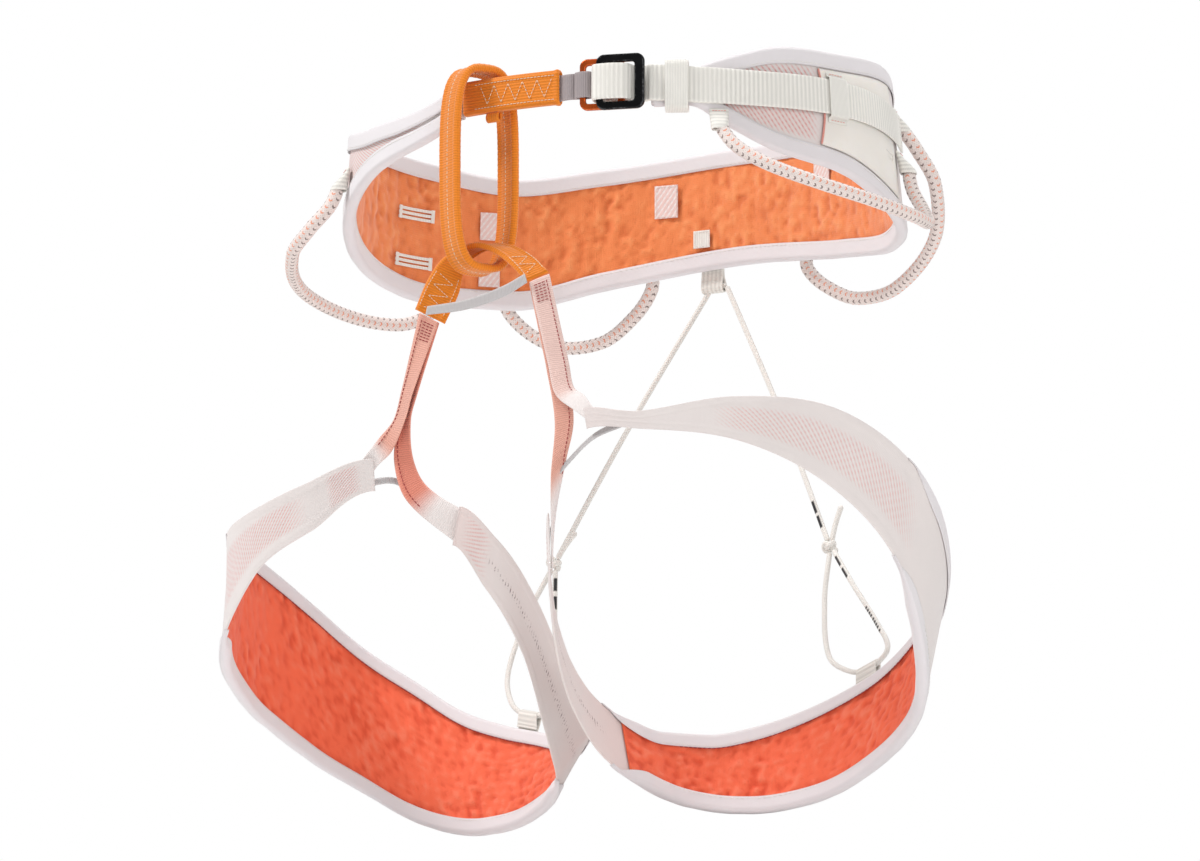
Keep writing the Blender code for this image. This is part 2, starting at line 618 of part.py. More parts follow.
def build_legs():
    for side, sign in (("left", 1.0), ("right", -1.0)):
        point, edge = build_leg(side)
        keys = {name: (Vector(at), Vector(across).normalized()) for name,
                (at, across) in LEG_STRAPS[side].items()}
        top, top_across = keys["top"]
        split, split_across = keys["split"]
        front = fold_normal(split_across, split - top)
        top_front = fold_normal(top_across, split - top)
        ends = {}
        for word, theta, step in (("outer", LEG_START, 1.0), ("inner", LEG_END, -1.0)):
            low = point(theta, 0.0, 0.5)
            high = point(theta, 1.0, 0.5)
            away = point(theta, 0.5, 0.5) - point(theta + step, 0.5, 0.5)
            ends[word] = (0.5 * (low + high) + away.normalized() * 0.6, high - low,
                    0.5 * (high - low).length)
        outer, across = keys["outer"]
        bend = top.lerp(split, 0.75)
        rows = [(top + top_front * 0.9, top_across, 5.4), (bend + front * 1.1, split_across, 5.2),
                (split + front * 1.2, split_across, 5.2),
                (outer, across, 5.2), ends["outer"]]
        ribbon(f"leg_{side}_strap_outer", rows, 1.2, SALMON, 15)
        inner, across = keys["inner"]
        low, low_across = keys["low"]
        rows = [(top - top_front * 0.9, top_across, 5.4),
                (bend - front * 1.1 - split_across * 1.1, split_across, 5.0),
                (split - front * 1.3 - split_across * 1.5, split_across, 4.8),
                (inner, across, 4.8), (low, low_across, 6.4), ends["inner"]]
        ribbon(f"leg_{side}_strap_inner", rows, 1.2, SALMON, 19)
        start = point(LEG_START + CROSS[side], 0.25, -1.8)
        stop = low + Vector((4.0 * sign, 3.4, -3.0))
        middle = 0.5 * (start + stop) + Vector((1.0 * sign, 2.5, 2.0))
        cross = [(start, (0.0, 0.0, 1.0), 1.6), (middle, (0.0, 0.2, 1.0), 1.6),
                (stop, (0.0, 0.0, 1.0), 1.6)]
        ribbon(f"leg_{side}_cross_elastic", cross, 0.8, BINDING, 7, 1)
        build_riser(side, sign, point)


def fold_normal(across, run):
    out = across.cross(run)
    if out.y > 0:
        out = -out
    return out.normalized()


def build_riser(side, sign, point):
    theta = 175.0 if side == "left" else 187.0
    base = point(theta, 1.0, 3.1)
    along = (point(theta + 2.0, 1.0, 3.1) - point(theta - 2.0, 1.0, 3.1)).normalized()
    up = (point(theta, 1.0, 3.1) - point(theta, 0.0, 3.1)).normalized()
    sheet(f"leg_{side}_rear_tab", lambda s, h: base + along * s + up * h, [-7.0, 7.0], [-8.0, 8.0], 1.2,
            WEBBING)
    tie = base + up * 10.4
    knots = {"left": Vector((66.0, 96.0, -193.0)), "right": Vector((-96.0, 92.0, -184.0))}
    knot = knots[side]
    start = Vector((4.5 * sign - 11.0, 113.5, -47.5))
    aim = (knot - start).normalized()
    cord(f"riser_cord_{side}", [start, start.lerp(knot, 0.5) + Vector((2.0 * sign, 0.0, 0.0)),
            knot - aim * 5.4],
         RISER_R, WEBBING, 7)
    down = (tie - knot).normalized()
    lateral = along * sign
    loop = [knot + down * 5.4 + lateral * 1.8, knot.lerp(tie, 0.35) + lateral * 12.0,
            knot.lerp(tie, 0.75) + lateral * 19.0,
            tie + lateral * 12.0 + Vector((0.0, 0.0, 4.5)), tie,
            tie - lateral * 12.0 + Vector((0.0, 0.0, 4.5)),
            knot.lerp(tie, 0.75) - lateral * 13.0, knot.lerp(tie, 0.35) - lateral * 6.0,
            knot + down * 5.4 - lateral * 1.8]
    cord(f"riser_loop_{side}", loop, RISER_R, WEBBING, 29)
    mesh = bpy.data.meshes.new(f"riser_knot_{side}")
    ball = bmesh.new()
    bmesh.ops.create_icosphere(ball, subdivisions=2, radius=1.0)
    bmesh.ops.scale(ball, vec=(5.2 * MM, 4.4 * MM, 4.6 * MM), verts=ball.verts)
    ball.to_mesh(mesh)
    ball.free()
    obj = finish(bpy.data.objects.new(f"riser_knot_{side}", mesh), WEBBING)
    obj.location = place(knot)
    lift = Vector((0.25, 0.1, 0.95) if side == "left" else (0.75, -0.25, 0.6)).normalized()
    cord(f"riser_tail_{side}", [knot + lift * 6.4, knot + lift * 22.0], RISER_R, WEBBING, 2)


def build_rear_tab():
    sheet("rear_riser_tab", lambda p, h: facet(p, h, 6.0), steps(184.6, 189.4, 3), [-45.0, -30.5], 1.0,
            WEBBING)


for leftover in list(bpy.data.objects):
    bpy.data.objects.remove(leftover)
HARNESS = bpy.data.collections.new("climbing_harness")
bpy.context.scene.collection.children.link(HARNESS)
build_belt()
build_front()
build_belay()
build_gear()
build_legs()
build_rear_tab()
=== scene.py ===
import math

import bmesh
import bpy
import numpy as np
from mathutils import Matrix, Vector


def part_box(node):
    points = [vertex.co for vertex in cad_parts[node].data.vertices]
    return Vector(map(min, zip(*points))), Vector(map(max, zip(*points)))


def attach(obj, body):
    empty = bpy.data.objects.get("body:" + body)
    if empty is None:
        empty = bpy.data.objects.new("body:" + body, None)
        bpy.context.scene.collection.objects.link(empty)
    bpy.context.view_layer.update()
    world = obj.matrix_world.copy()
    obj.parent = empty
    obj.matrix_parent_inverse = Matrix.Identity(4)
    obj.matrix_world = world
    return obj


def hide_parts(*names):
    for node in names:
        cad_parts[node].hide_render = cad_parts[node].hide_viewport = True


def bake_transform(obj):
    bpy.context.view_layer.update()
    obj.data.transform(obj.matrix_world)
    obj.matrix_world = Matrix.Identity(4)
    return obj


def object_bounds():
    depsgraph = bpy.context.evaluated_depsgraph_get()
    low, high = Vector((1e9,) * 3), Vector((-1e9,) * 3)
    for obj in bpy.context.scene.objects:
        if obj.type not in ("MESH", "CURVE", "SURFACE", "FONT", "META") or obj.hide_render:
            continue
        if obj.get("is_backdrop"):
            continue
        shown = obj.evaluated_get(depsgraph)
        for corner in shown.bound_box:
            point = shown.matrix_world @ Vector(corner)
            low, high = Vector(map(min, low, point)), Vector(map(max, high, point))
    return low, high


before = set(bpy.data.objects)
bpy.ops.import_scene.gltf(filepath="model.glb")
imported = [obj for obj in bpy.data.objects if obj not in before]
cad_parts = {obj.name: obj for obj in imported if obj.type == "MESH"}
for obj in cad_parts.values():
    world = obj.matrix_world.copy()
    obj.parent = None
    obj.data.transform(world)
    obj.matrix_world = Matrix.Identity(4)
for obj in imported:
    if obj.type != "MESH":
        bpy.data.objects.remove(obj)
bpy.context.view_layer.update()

# The harness's own design numbers, in millimetres: the wearer faces -Y, left is +X, up is +Z.
MM = 0.001
WAIST_X, WAIST_A, WAIST_B = 4.0, 142.0, 107.0
BELT_START, BELT_END = 33.0, 350.0
BELT_EDGES = {
    33: (14.0, -3.9), 42: (14.2, -4.0), 47: (18.0, -11.0), 52: (21.5, -17.0), 60: (26.0, -25.0),
    80: (27.0, -33.0), 100: (29.0, -45.0), 115: (26.0, -49.0), 130: (20.0, -50.0),
    150: (18.0, -45.0), 180: (20.0, -38.0), 210: (15.0, -45.0), 230: (10.0, -54.0),
    250: (14.0, -54.0), 265: (16.0, -50.0), 280: (17.0, -42.0), 300: (12.0, -28.0),
    320: (6.0, -16.0), 338: (6.5, -9.5), 344: (9.5, -6.0), 350: (14.5, -1.0),
}
BELT_FLARE = {33: 0.0, 60: 0.06, 90: 0.1, 130: 0.1, 165: 0.0, 195: 0.0, 230: 0.1, 270: 0.1,
              300: 0.06, 327: 0.0, 350: 0.0}
LOAD_TAPE = {
    48: (4.0, 7.0), 60: (2.0, 9.0), 90: (-3.0, 12.0), 130: (-15.0, 12.0), 180: (-9.0, 12.0),
    230: (-21.0, 12.0), 280: (-12.0, 12.0), 320: (-5.0, 7.0), 336: (-1.8, 5.5),
    344: (2.0, 5.5), 350: (6.9, 6.0), 356: (7.3, 6.4), 372: (7.3, 6.4),
}
STRAP_LINE = {20: 6.4, 31: 6.4, 40: 5.2, 51: 4.2, 71: 4.0, 90: 2.6, 100: 0.8, 112: -1.4}
BUCKLE_PHI, BUCKLE_Z = 24.0, 6.4
BELAY = (-9.0, -110.0)
BELAY_TOP, BELAY_BOTTOM, BELAY_R, BELAY_W, BELAY_T, BELAY_YAW = 23.2, -82.0, 17.0, 16.5, 4.0, 25.0
BELAY_OVAL = 0.6
LEG_CENTRE = (102.0, -38.6)
LEG_START, LEG_END = -25.0, 311.0
LEGS = {
    "left": {
        -25: (94, -161, 92, -171), 0: (93, -168, 91, -177), 30: (88, -163, 87, -185),
        60: (92, -167, 87, -205), 90: (97, -189, 88, -238), 105: (100, -208, 88, -263),
        120: (100, -227, 88, -287), 135: (100, -243, 88, -301), 150: (98, -256, 87, -312),
        165: (96, -269, 85, -322), 180: (94, -279, 83, -331), 195: (92, -288, 82, -336),
        210: (91, -295, 83, -338), 225: (92, -299, 84, -337), 240: (93, -299, 84, -333),
        255: (94, -292, 86, -324), 270: (95, -279, 89, -311), 285: (96, -258, 92, -289),
        300: (97, -228, 95, -258), 311: (98, -206, 97, -231),
    },
    "right": {
        -25: (95, -172, 88, -187), 0: (88, -181, 80, -203), 30: (86, -189, 80, -218),
        60: (86, -191, 88, -243), 90: (92, -192, 101, -259), 105: (96, -198, 106, -271),
        120: (99, -211, 106, -286), 135: (100, -230, 100, -302), 150: (98, -247, 91, -318),
        165: (96, -264, 84, -327), 180: (94, -274, 80, -330), 195: (94, -281, 79, -329),
        210: (94, -288, 79, -325), 225: (94, -292, 78, -321), 240: (94, -292, 77, -315),
        255: (94, -283, 78, -307), 270: (95, -264, 83, -293), 285: (99, -237, 90, -265),
        300: (106, -213, 95, -237), 311: (107, -198, 94, -215),
    },
}
LEG_LINED = {"left": (95.0, 255.0), "right": (63.0, 231.0)}
CORD_R, RISER_R = 3.25, 1.5
RUBBED = 1.1   # width of the rubbed band along every rim

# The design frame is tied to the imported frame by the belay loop's own box.
_low, _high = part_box("belay_loop")
ORIGIN = 500.0 * np.array(_low + _high) - np.array((*BELAY, 0.5 * (BELAY_TOP + BELAY_BOTTOM)))


UP = np.array((0.0, 0.0, 1.0))


def place(points):
    return (np.asarray(points, float) + ORIGIN) * MM


def unit(v):
    return v / np.maximum(np.linalg.norm(v, axis=-1, keepdims=True), 1e-12)


def hermite(keys, rows, slope, at):
    gap = np.diff(keys)
    i = np.clip(np.searchsorted(keys, at, side="right") - 1, 0, len(gap) - 1)
    t = ((at - keys[i]) / gap[i])[..., None]
    m0 = slope[i] * gap[i][..., None]
    m1 = slope[i + 1] * gap[i][..., None]
    out = (2 * t**3 - 3 * t**2 + 1) * rows[i] + (t**3 - 2 * t**2 + t) * m0
    return out + (3 * t**2 - 2 * t**3) * rows[i + 1] + (t**3 - t**2) * m1


def keyed(table, at):
    """Cubic interpolation of a table's rows without overshoot."""
    keys = np.array(sorted(table), float)
    rows = np.array([np.atleast_1d(table[k]) for k in sorted(table)], float)
    rise = np.diff(rows, axis=0) / np.diff(keys)[:, None]
    slope = np.zeros_like(rows)
    slope[1:-1] = np.where(rise[:-1] * rise[1:] > 0, 0.5 * (rise[:-1] + rise[1:]), 0.0)
    return hermite(keys, rows, slope, np.clip(np.asarray(at, float), keys[0], keys[-1]))


def flowing(rows, pitch=None, count=None):
    """A smooth run through rows whose first three columns are a place, resampled evenly."""
    rows = np.asarray(rows, float)
    run = np.concatenate([[0.0], np.cumsum(np.linalg.norm(np.diff(rows[:, :3], axis=0), axis=1))])
    ahead = np.minimum(np.arange(len(rows)) + 1, len(rows) - 1)
    behind = np.maximum(np.arange(len(rows)) - 1, 0)
    slope = (rows[ahead] - rows[behind]) / (run[ahead] - run[behind])[:, None]
    fine = hermite(run, rows, slope, np.linspace(0.0, run[-1], len(rows) * 24))
    return even(fine, pitch, count)


def even(rows, pitch=None, count=None):
    run = np.concatenate([[0.0], np.cumsum(np.linalg.norm(np.diff(rows[:, :3], axis=0), axis=1))])
    count = count or max(int(round(run[-1] / pitch)), 2) + 1
    at = np.linspace(0.0, run[-1], count)
    return np.stack([np.interp(at, run, rows[:, c]) for c in range(rows.shape[1])], axis=1)


def grid(us, vs):
    return np.meshgrid(us, vs, indexing="ij")


def rising(x, start, width):
    """0 up to start, then a straight rise to 1 over a width."""
    return np.clip((x - start) / width, 0.0, 1.0)


def band(x, low, high, soft):
    """1 between low and high, falling to 0 at both over a soft margin inside."""
    return rising(x, low, soft) * np.clip((high - x) / soft, 0.0, 1.0)


def squared(x, power):
    """A sine or cosine flattened towards a square wave."""
    return np.sign(x) * np.abs(x) ** power


def eased(t):
    return t * t * (3 - 2 * t)


def waist_normal(phi):
    p = np.radians(phi)
    return unit(np.stack([np.sin(p) / WAIST_A, -np.cos(p) / WAIST_B, 0.0 * p], axis=-1))


def waist(phi, z, offset):
    phi, z, offset = np.broadcast_arrays(*[np.asarray(a, float) for a in (phi, z, offset)])
    p = np.radians(phi)
    base = np.stack([WAIST_X + WAIST_A * np.sin(p), -WAIST_B * np.cos(p), z], axis=-1)
    lean = -z * keyed(BELT_FLARE, phi % 360.0)[..., 0]
    return base + waist_normal(phi) * (offset + lean)[..., None]


def leg_edge(side, theta, v):
    sign = 1.0 if side == "left" else -1.0
    row = keyed(LEGS[side], theta)
    t = np.radians(theta)
    r = row[..., 2] + (row[..., 0] - row[..., 2]) * v
    z = row[..., 3] + (row[..., 1] - row[..., 3]) * v
    return np.stack([sign * (LEG_CENTRE[0] + r * np.sin(t)), LEG_CENTRE[1] - r * np.cos(t), z], axis=-1)


def leg_point(side, theta, v, offset):
    theta, v, offset = np.broadcast_arrays(*[np.asarray(a, float) for a in (theta, v, offset)])
    ahead = leg_edge(side, theta + 1.0, v) - leg_edge(side, theta - 1.0, v)
    up = leg_edge(side, theta, 1.0 + 0 * v) - leg_edge(side, theta, 0 * v)
    out = unit(np.cross(ahead, up)) * (1.0 if side == "left" else -1.0)
    return leg_edge(side, theta, v) + out * offset[..., None]


def leg_width(side, theta):
    one = np.ones_like(np.asarray(theta, float))
    return np.linalg.norm(leg_edge(side, theta, one) - leg_edge(side, theta, 0 * one), axis=-1)


def relief_noise(x, y, size, seed):
    """Smooth seeded noise from -1 to 1 with features about size millimetres across."""
    rows = np.random.RandomState(seed).uniform(-1.0, 1.0, (64, 64))
    x, y = np.broadcast_arrays(np.asarray(x, float) / size, np.asarray(y, float) / size)
    i, j = np.floor(x).astype(int), np.floor(y).astype(int)
    s, t = x - i, y - j
    s, t = eased(s), eased(t)
    pick = lambda a, b: rows[a % 64, b % 64]
    low = pick(i, j) * (1 - s) + pick(i + 1, j) * s
    return low * (1 - t) + (pick(i, j + 1) * (1 - s) + pick(i + 1, j + 1) * s) * t


def spread(width, pitch, fine=0.35):
    """Stations across a width, closer together at both edges."""
    inner = np.linspace(-0.5 * width + 2 * fine, 0.5 * width - 2 * fine, max(int(width / pitch), 2) + 1)
    half = 0.5 * width
    return np.concatenate([[-half, -half + 0.8 * fine], inner, [half - 0.8 * fine, half]])


# Looks ---------------------------------------------------------------------------------------

class Field:
    """A number flowing through a material's nodes, so that patterns read as formulas."""

    def __init__(self, look, socket):
        self.look = look
        self.socket = socket

    def to(self, op, other=0.0, third=0.0):
        return self.look.math(op, self, other, third)

    def __add__(self, other):
        return self.to("ADD", other)

    def __sub__(self, other):
        return self.to("SUBTRACT", other)

    def __mul__(self, other):
        return self.to("MULTIPLY", other)

    __radd__ = __add__
    __rmul__ = __mul__

    def below(self, other):
        return self.to("LESS_THAN", other)

    def wave(self, pitch, shift=0.0):
        return (self * (2 * math.pi / pitch) + shift).to("SINE") * 0.5 + 0.5

    def fract(self):
        return self.to("FRACT")

    def between(self, low, high):
        return self.look.ramp(self, low, high)


def plug(tree, socket, value):
    """Feeds a socket from a field, another socket, a colour or a number."""
    if isinstance(value, Field):
        tree.links.new(value.socket, socket)
    elif isinstance(value, bpy.types.NodeSocket):
        tree.links.new(value, socket)
    elif isinstance(value, tuple):
        socket.default_value = (*value, 1.0)
    else:
        socket.default_value = value


def add_node(tree, kind, inputs=None, **options):
    node = tree.nodes.new(kind)
    for option, value in options.items():
        setattr(node, option, value)
    for key, value in (inputs or {}).items():
        plug(tree, node.inputs[key], value)
    return node


class Look:
    """A material being drawn: a Principled shader and the fields that feed it."""

    def __init__(self, name, roughness=0.8, metallic=0.0, sheen=0.0):
        self.material = bpy.data.materials.new(name)
        self.material.use_nodes = True
        self.tree = self.material.node_tree
        self.shader = self.tree.nodes["Principled BSDF"]
        finish = {"Roughness": roughness, "Metallic": metallic,
                  "Sheen Weight": sheen, "Sheen Roughness": 0.5}
        if not metallic:
            finish["Specular IOR Level"] = 0.25
        for key, value in finish.items():
            self.shader.inputs[key].default_value = value
        place_uv = add_node(self.tree, "ShaderNodeUVMap", uv_map="mm")
        split = add_node(self.tree, "ShaderNodeSeparateXYZ", {0: place_uv.outputs[0]})
        self.u = Field(self, split.outputs[0])
        self.v = Field(self, split.outputs[1])
        self.where = add_node(self.tree, "ShaderNodeTexCoord").outputs["Object"]

    def field(self, output, kind, inputs=None, **options):
        return Field(self, add_node(self.tree, kind, inputs, **options).outputs[output])

    def math(self, op, a, b=0.0, c=0.0):
        return self.field(0, "ShaderNodeMath", {0: a, 1: b, 2: c}, operation=op)

    def ramp(self, value, low, high):
        inputs = {"Value": value, "From Min": low, "From Max": high}
        return self.field("Result", "ShaderNodeMapRange", inputs, interpolation_type="SMOOTHSTEP")

    def noise(self, size, detail=2.0):
        return self.field("Fac", "ShaderNodeTexNoise",
                          {"Scale": 1000.0 / size, "Detail": detail, "Vector": self.where})

    def mark(self, name):
        return self.field("Fac", "ShaderNodeAttribute", attribute_name=name)

    def mix(self, share, a, b):
        return add_node(self.tree, "ShaderNodeMix", {0: share, 6: a, 7: b}, data_type="RGBA").outputs[2]

    def done(self, colour, height, rough=None):
        plug(self.tree, self.shader.inputs["Base Color"], colour)
        if rough is not None:
            plug(self.tree, self.shader.inputs["Roughness"], rough)
        bump = add_node(self.tree, "ShaderNodeBump", {"Distance": MM, "Strength": 1.0, "Height": height})
        self.tree.links.new(bump.outputs[0], self.shader.inputs["Normal"])
        return self.material


def shade(colour, k):
    return tuple(min(c * k, 1.0) for c in colour)


def plain_weave(look, pitch):
    """Over-and-under threads of a plain weave, from 0 to 1."""
    a = (look.u * (math.pi / pitch)).to("SINE")
    b = (look.v * (math.pi / pitch)).to("SINE")
    return (a * b).to("ABSOLUTE")


def webbing_look(name, colour, rib, rib_depth=0.0, edge=None, sheen=0.25, ridged=True):
    """Woven webbing: cross ribs and fine warp threads with painted shade in their grooves and a painted
    highlight on their crests, soft colour drift, rubbed lighter edges.
    """
    look = Look(name, 0.75, sheen=sheen)
    rib_wave = look.u.wave(rib) if ridged else look.v.wave(rib)
    warp = look.v.wave(0.55) if ridged else look.u.wave(0.55)
    rib_shade = warp * 0.35 + rib_wave * 0.65
    drift = look.noise(14.0).between(0.3, 0.75)
    fuzz = look.noise(0.8, 4.0)
    # Painted shade in the grooves of the ribs and threads and a painted highlight on their crests, following
    # the relief below.
    base = look.mix(rib_shade, shade(colour, 0.72), shade(colour, 1.06))
    base = look.mix(drift * 0.35, base, shade(colour, 0.84))
    base = look.mix(look.mark("rub") * fuzz * 0.6, base, edge or shade(colour, 1.25))
    base = look.mix(look.mark("fade"), base, SHELL)
    height = rib_wave * (0.10 + rib_depth) + warp * 0.04 + fuzz * 0.05
    return look.done(base, height, drift * 0.12 + 0.68)


def soft_look(name, colour, pore_and_shade_tone, pale, pitch=0.9, depth=0.09, sheen=0.35):
    """Knitted or woven cloth over foam: fine threads, pores in the hollows, slow colour drift, painted shade
    in the foam's hollows and a painted highlight on its raised tops.
    """
    look = Look(name, 0.88, sheen=sheen)
    weave = plain_weave(look, pitch)
    drift = look.noise(22.0, 3.0).between(0.3, 0.7)
    pores = look.noise(1.6, 3.0).between(0.56, 0.68)
    # The weave is painted lighter on the threads' crests: a painted highlight that follows the weave's
    # relief.
    base = look.mix(weave * 0.5, colour, shade(colour, 1.12))
    base = look.mix(drift * 0.3, base, shade(colour, 0.88))
    # Painted shade in the foam's hollows and a painted highlight on its raised tops, read from the pad's
    # relief marks.
    base = look.mix(look.mark("hollow_shade") * 0.75, base, pore_and_shade_tone)
    base = look.mix(look.mark("crown_highlight") * 0.5, base, pale)
    base = look.mix(pores * 0.14, base, pore_and_shade_tone)
    base = look.mix(look.mark("rub") * 0.35, base, shade(colour, 1.35))
    return look.done(base, weave * depth + pores * -0.10 + look.noise(0.7, 3.0) * 0.05, drift * 0.08 + 0.84)


def shell_look(name, colour, hatch):
    """Thin shell fabric with a mesh field of slanting lines, and a stippled seam."""
    look = Look(name, 0.8, sheen=0.3)
    weave = plain_weave(look, 0.6)
    slant = (look.u * 0.8 + look.v * 0.6).wave(2.3)
    cross = (look.u * 0.6 - look.v * 0.9).wave(2.9)
    lines = slant.between(0.52, 0.8) * (cross * 0.5 + 0.5)
    drift = look.noise(30.0, 3.0).between(0.3, 0.7)
    # The weave is painted lighter on the threads' crests and darker between them: painted shade that follows
    # the weave's relief.
    base = look.mix(weave * 0.5, shade(colour, 0.93), shade(colour, 1.04))
    base = look.mix(drift * 0.35, base, shade(colour, 0.9))
    base = look.mix(look.mark("field") * lines * 0.72, base, hatch)
    dots = look.u.wave(2.3).between(0.55, 0.9) * look.noise(1.1, 2.0).between(0.45, 0.6)
    base = look.mix(look.mark("seam") * dots, base, (0.16, 0.08, 0.09))
    base = look.mix(look.mark("warm") * 0.75, base, (0.72, 0.42, 0.38))
    height = weave * 0.05 + lines * look.mark("field") * -0.12 + look.noise(0.9, 3.0) * 0.04
    return look.done(base, height, drift * 0.1 + 0.74)


def braid_look(name, colour, fleck, second, around, columns, row):
    """A braided sheath with slanting strands and rows of small coloured flecks."""
    look = Look(name, 0.7, sheen=0.2)
    column = look.v * (columns / around)
    half = (column.to("FLOOR") * 0.5).fract()
    inside = (column.fract() - 0.5).to("ABSOLUTE")
    along = (look.u * (1.0 / row) + half + inside * 0.6).fract()
    mark = along.below(0.25) * inside.below(0.31)
    strand = ((look.u + look.v).wave(1.5)).to("MAXIMUM", (look.u - look.v).wave(1.5))
    drift = look.noise(9.0).between(0.3, 0.7)
    # Painted shade between the strands and a painted highlight on their crests, following the strands'
    # relief.
    base = look.mix(strand, shade(colour, 0.82), shade(colour, 1.05))
    base = look.mix(drift * 0.25, base, shade(colour, 0.9))
    ink = look.mix((half * 2.0).between(0.4, 0.6), fleck, second)
    base = look.mix(mark * 0.85, base, ink)
    base = look.mix(look.mark("dash"), base, (0.015, 0.015, 0.017))
    return look.done(base, strand * 0.16 + look.noise(0.6, 3.0) * 0.04, drift * 0.12 + 0.62)


def thread_look(name, colour):
    look = Look(name, 0.55, sheen=0.3)
    twist = (look.u + look.v * 0.8).wave(0.5)
    # Painted shade in the twist's grooves and a painted highlight on its crests.
    base = look.mix(twist, shade(colour, 0.75), shade(colour, 1.05))
    return look.done(base, twist * 0.04)


def metal_look(name, colour, worn):
    """Anodised aluminium: faint brushing, softly worn where the edges are proud."""
    look = Look(name, 0.28, metallic=0.85)
    brush = look.noise(0.5, 6.0)
    cloud = look.noise(7.0, 3.0).between(0.35, 0.7)
    rub = look.mark("rub") * look.noise(1.6, 4.0).between(0.45, 0.7)
    base = look.mix(cloud * 0.3, colour, shade(colour, 1.5))
    base = look.mix(rub * 0.5, base, worn)
    return look.done(base, brush * 0.015, cloud * 0.14 + rub * 0.2 + brush * 0.08 + 0.18)


def panel_look(name):
    """Thin coated panel that lets a little light through."""
    look = Look(name, 0.5, sheen=0.15)
    cloud = look.noise(18.0, 3.0).between(0.3, 0.7)
    grid = plain_weave(look, 1.2)
    base = look.mix(cloud * 0.4, (0.84, 0.80, 0.75), (0.77, 0.72, 0.66))
    look.shader.inputs["Subsurface Weight"].default_value = 0.25
    look.shader.inputs["Subsurface Radius"].default_value = (0.002, 0.0015, 0.001)
    return look.done(base, grid * 0.03 + cloud * 0.1, cloud * 0.15 + 0.42)


ORANGE = (0.83, 0.235, 0.012)
LINING = (0.82, 0.235, 0.075)
LEG_RED = (0.92, 0.155, 0.072)
SHELL = (0.80, 0.735, 0.715)
BIND = (0.79, 0.75, 0.765)
WHITE = (0.86, 0.835, 0.78)
SALMON = (0.80, 0.40, 0.31)
GREY = (0.36, 0.31, 0.315)
CORD = (0.83, 0.73, 0.69)
CREAM = (0.83, 0.805, 0.76)

LOOKS = {
    "orange": webbing_look("orange_webbing", ORANGE, 1.3, 0.05, shade(ORANGE, 1.2)),
    "orange_long": webbing_look("orange_webbing_long_rib", ORANGE, 1.5, 0.06, shade(ORANGE, 1.2),
                                ridged=False),
    # In each lining look the tone after the colour is the pore colour and the painted shade of the foam's
    # hollows; the last is the painted highlight on its raised tops.
    "lining": soft_look("waist_lining_cloth", LINING, (0.64, 0.145, 0.038), (0.92, 0.36, 0.14)),
    "leg_lining": soft_look("leg_lining_cloth", LEG_RED, (0.74, 0.085, 0.035), (0.96, 0.26, 0.15),
                            0.8, 0.11, 0.15),
    "shell": shell_look("shell_fabric", SHELL, (0.70, 0.22, 0.20)),
    "binding": shell_look("edge_binding_tape", BIND, (0.70, 0.22, 0.20)),
    "white": webbing_look("white_webbing", WHITE, 2.3, 0.0, shade(WHITE, 1.12)),
    "elastic": webbing_look("white_elastic", shade(WHITE, 1.02), 0.8, 0.0, shade(WHITE, 1.12)),
    "grey": webbing_look("grey_webbing", GREY, 1.1, 0.05, shade(GREY, 1.5)),
    "salmon": webbing_look("salmon_webbing", SALMON, 1.1, 0.0, shade(SALMON, 1.3), 0.35),
    "salmon_deep": webbing_look("salmon_webbing_deep", (0.80, 0.27, 0.19), 1.1, 0.0,
                                shade(SALMON, 1.3), 0.35),
    "blush": webbing_look("blush_webbing", (0.82, 0.57, 0.51), 1.1, 0.0, (0.9, 0.8, 0.78), 0.35),
    "elastic_grey": webbing_look("grey_elastic", (0.53, 0.50, 0.50), 0.8, 0.0, (0.9, 0.9, 0.9)),
    "patch": shell_look("stitched_patch", (0.82, 0.60, 0.56), (0.86, 0.84, 0.83)),
    "white_patch": webbing_look("white_patch", WHITE, 1.0, 0.0, shade(WHITE, 1.12)),
    "cord": braid_look("gear_cord_sheath", CORD, (0.16, 0.11, 0.10), (0.80, 0.28, 0.16), 20.4, 6.0, 3.4),
    "riser": braid_look("riser_cord_sheath", CREAM, shade(CREAM, 0.85), shade(CREAM, 0.9), 9.4, 4.0, 2.2),
    "thread_white": thread_look("white_thread", (0.86, 0.82, 0.78)),
    "thread_pale": thread_look("pale_orange_thread", (0.92, 0.72, 0.52)),
    "thread_red": thread_look("dark_red_thread", (0.36, 0.03, 0.035)),
    "thread_pink": thread_look("pink_thread", (0.80, 0.33, 0.28)),
    "black": metal_look("black_anodised", (0.010, 0.010, 0.011), (0.18, 0.18, 0.19)),
    "bronze": metal_look("bronze_anodised", (0.52, 0.085, 0.012), (0.80, 0.42, 0.22)),
    "panel": panel_look("coated_panel"),
}


# The record's material slot that each look belongs to.
SLOTS = {"lining": "waist_lining_foam", "leg_lining": "leg_lining_foam", "shell": "shell_fabric",
         "cord": "gear_cord", "riser": "elastic_cord", "grey": "grey_webbing", "black": "black_anodised",
         "bronze": "bronze_anodised"}
for slot_name, members in (("edge_binding", ("binding", "elastic_grey")),
                           ("white_webbing", ("white", "elastic", "panel")),
                           ("orange_webbing", ("orange", "orange_long")),
                           ("salmon_webbing", ("salmon", "salmon_deep", "blush"))):
    SLOTS.update({member: slot_name for member in members})


# Makers of pieces ----------------------------------------------------------------------------

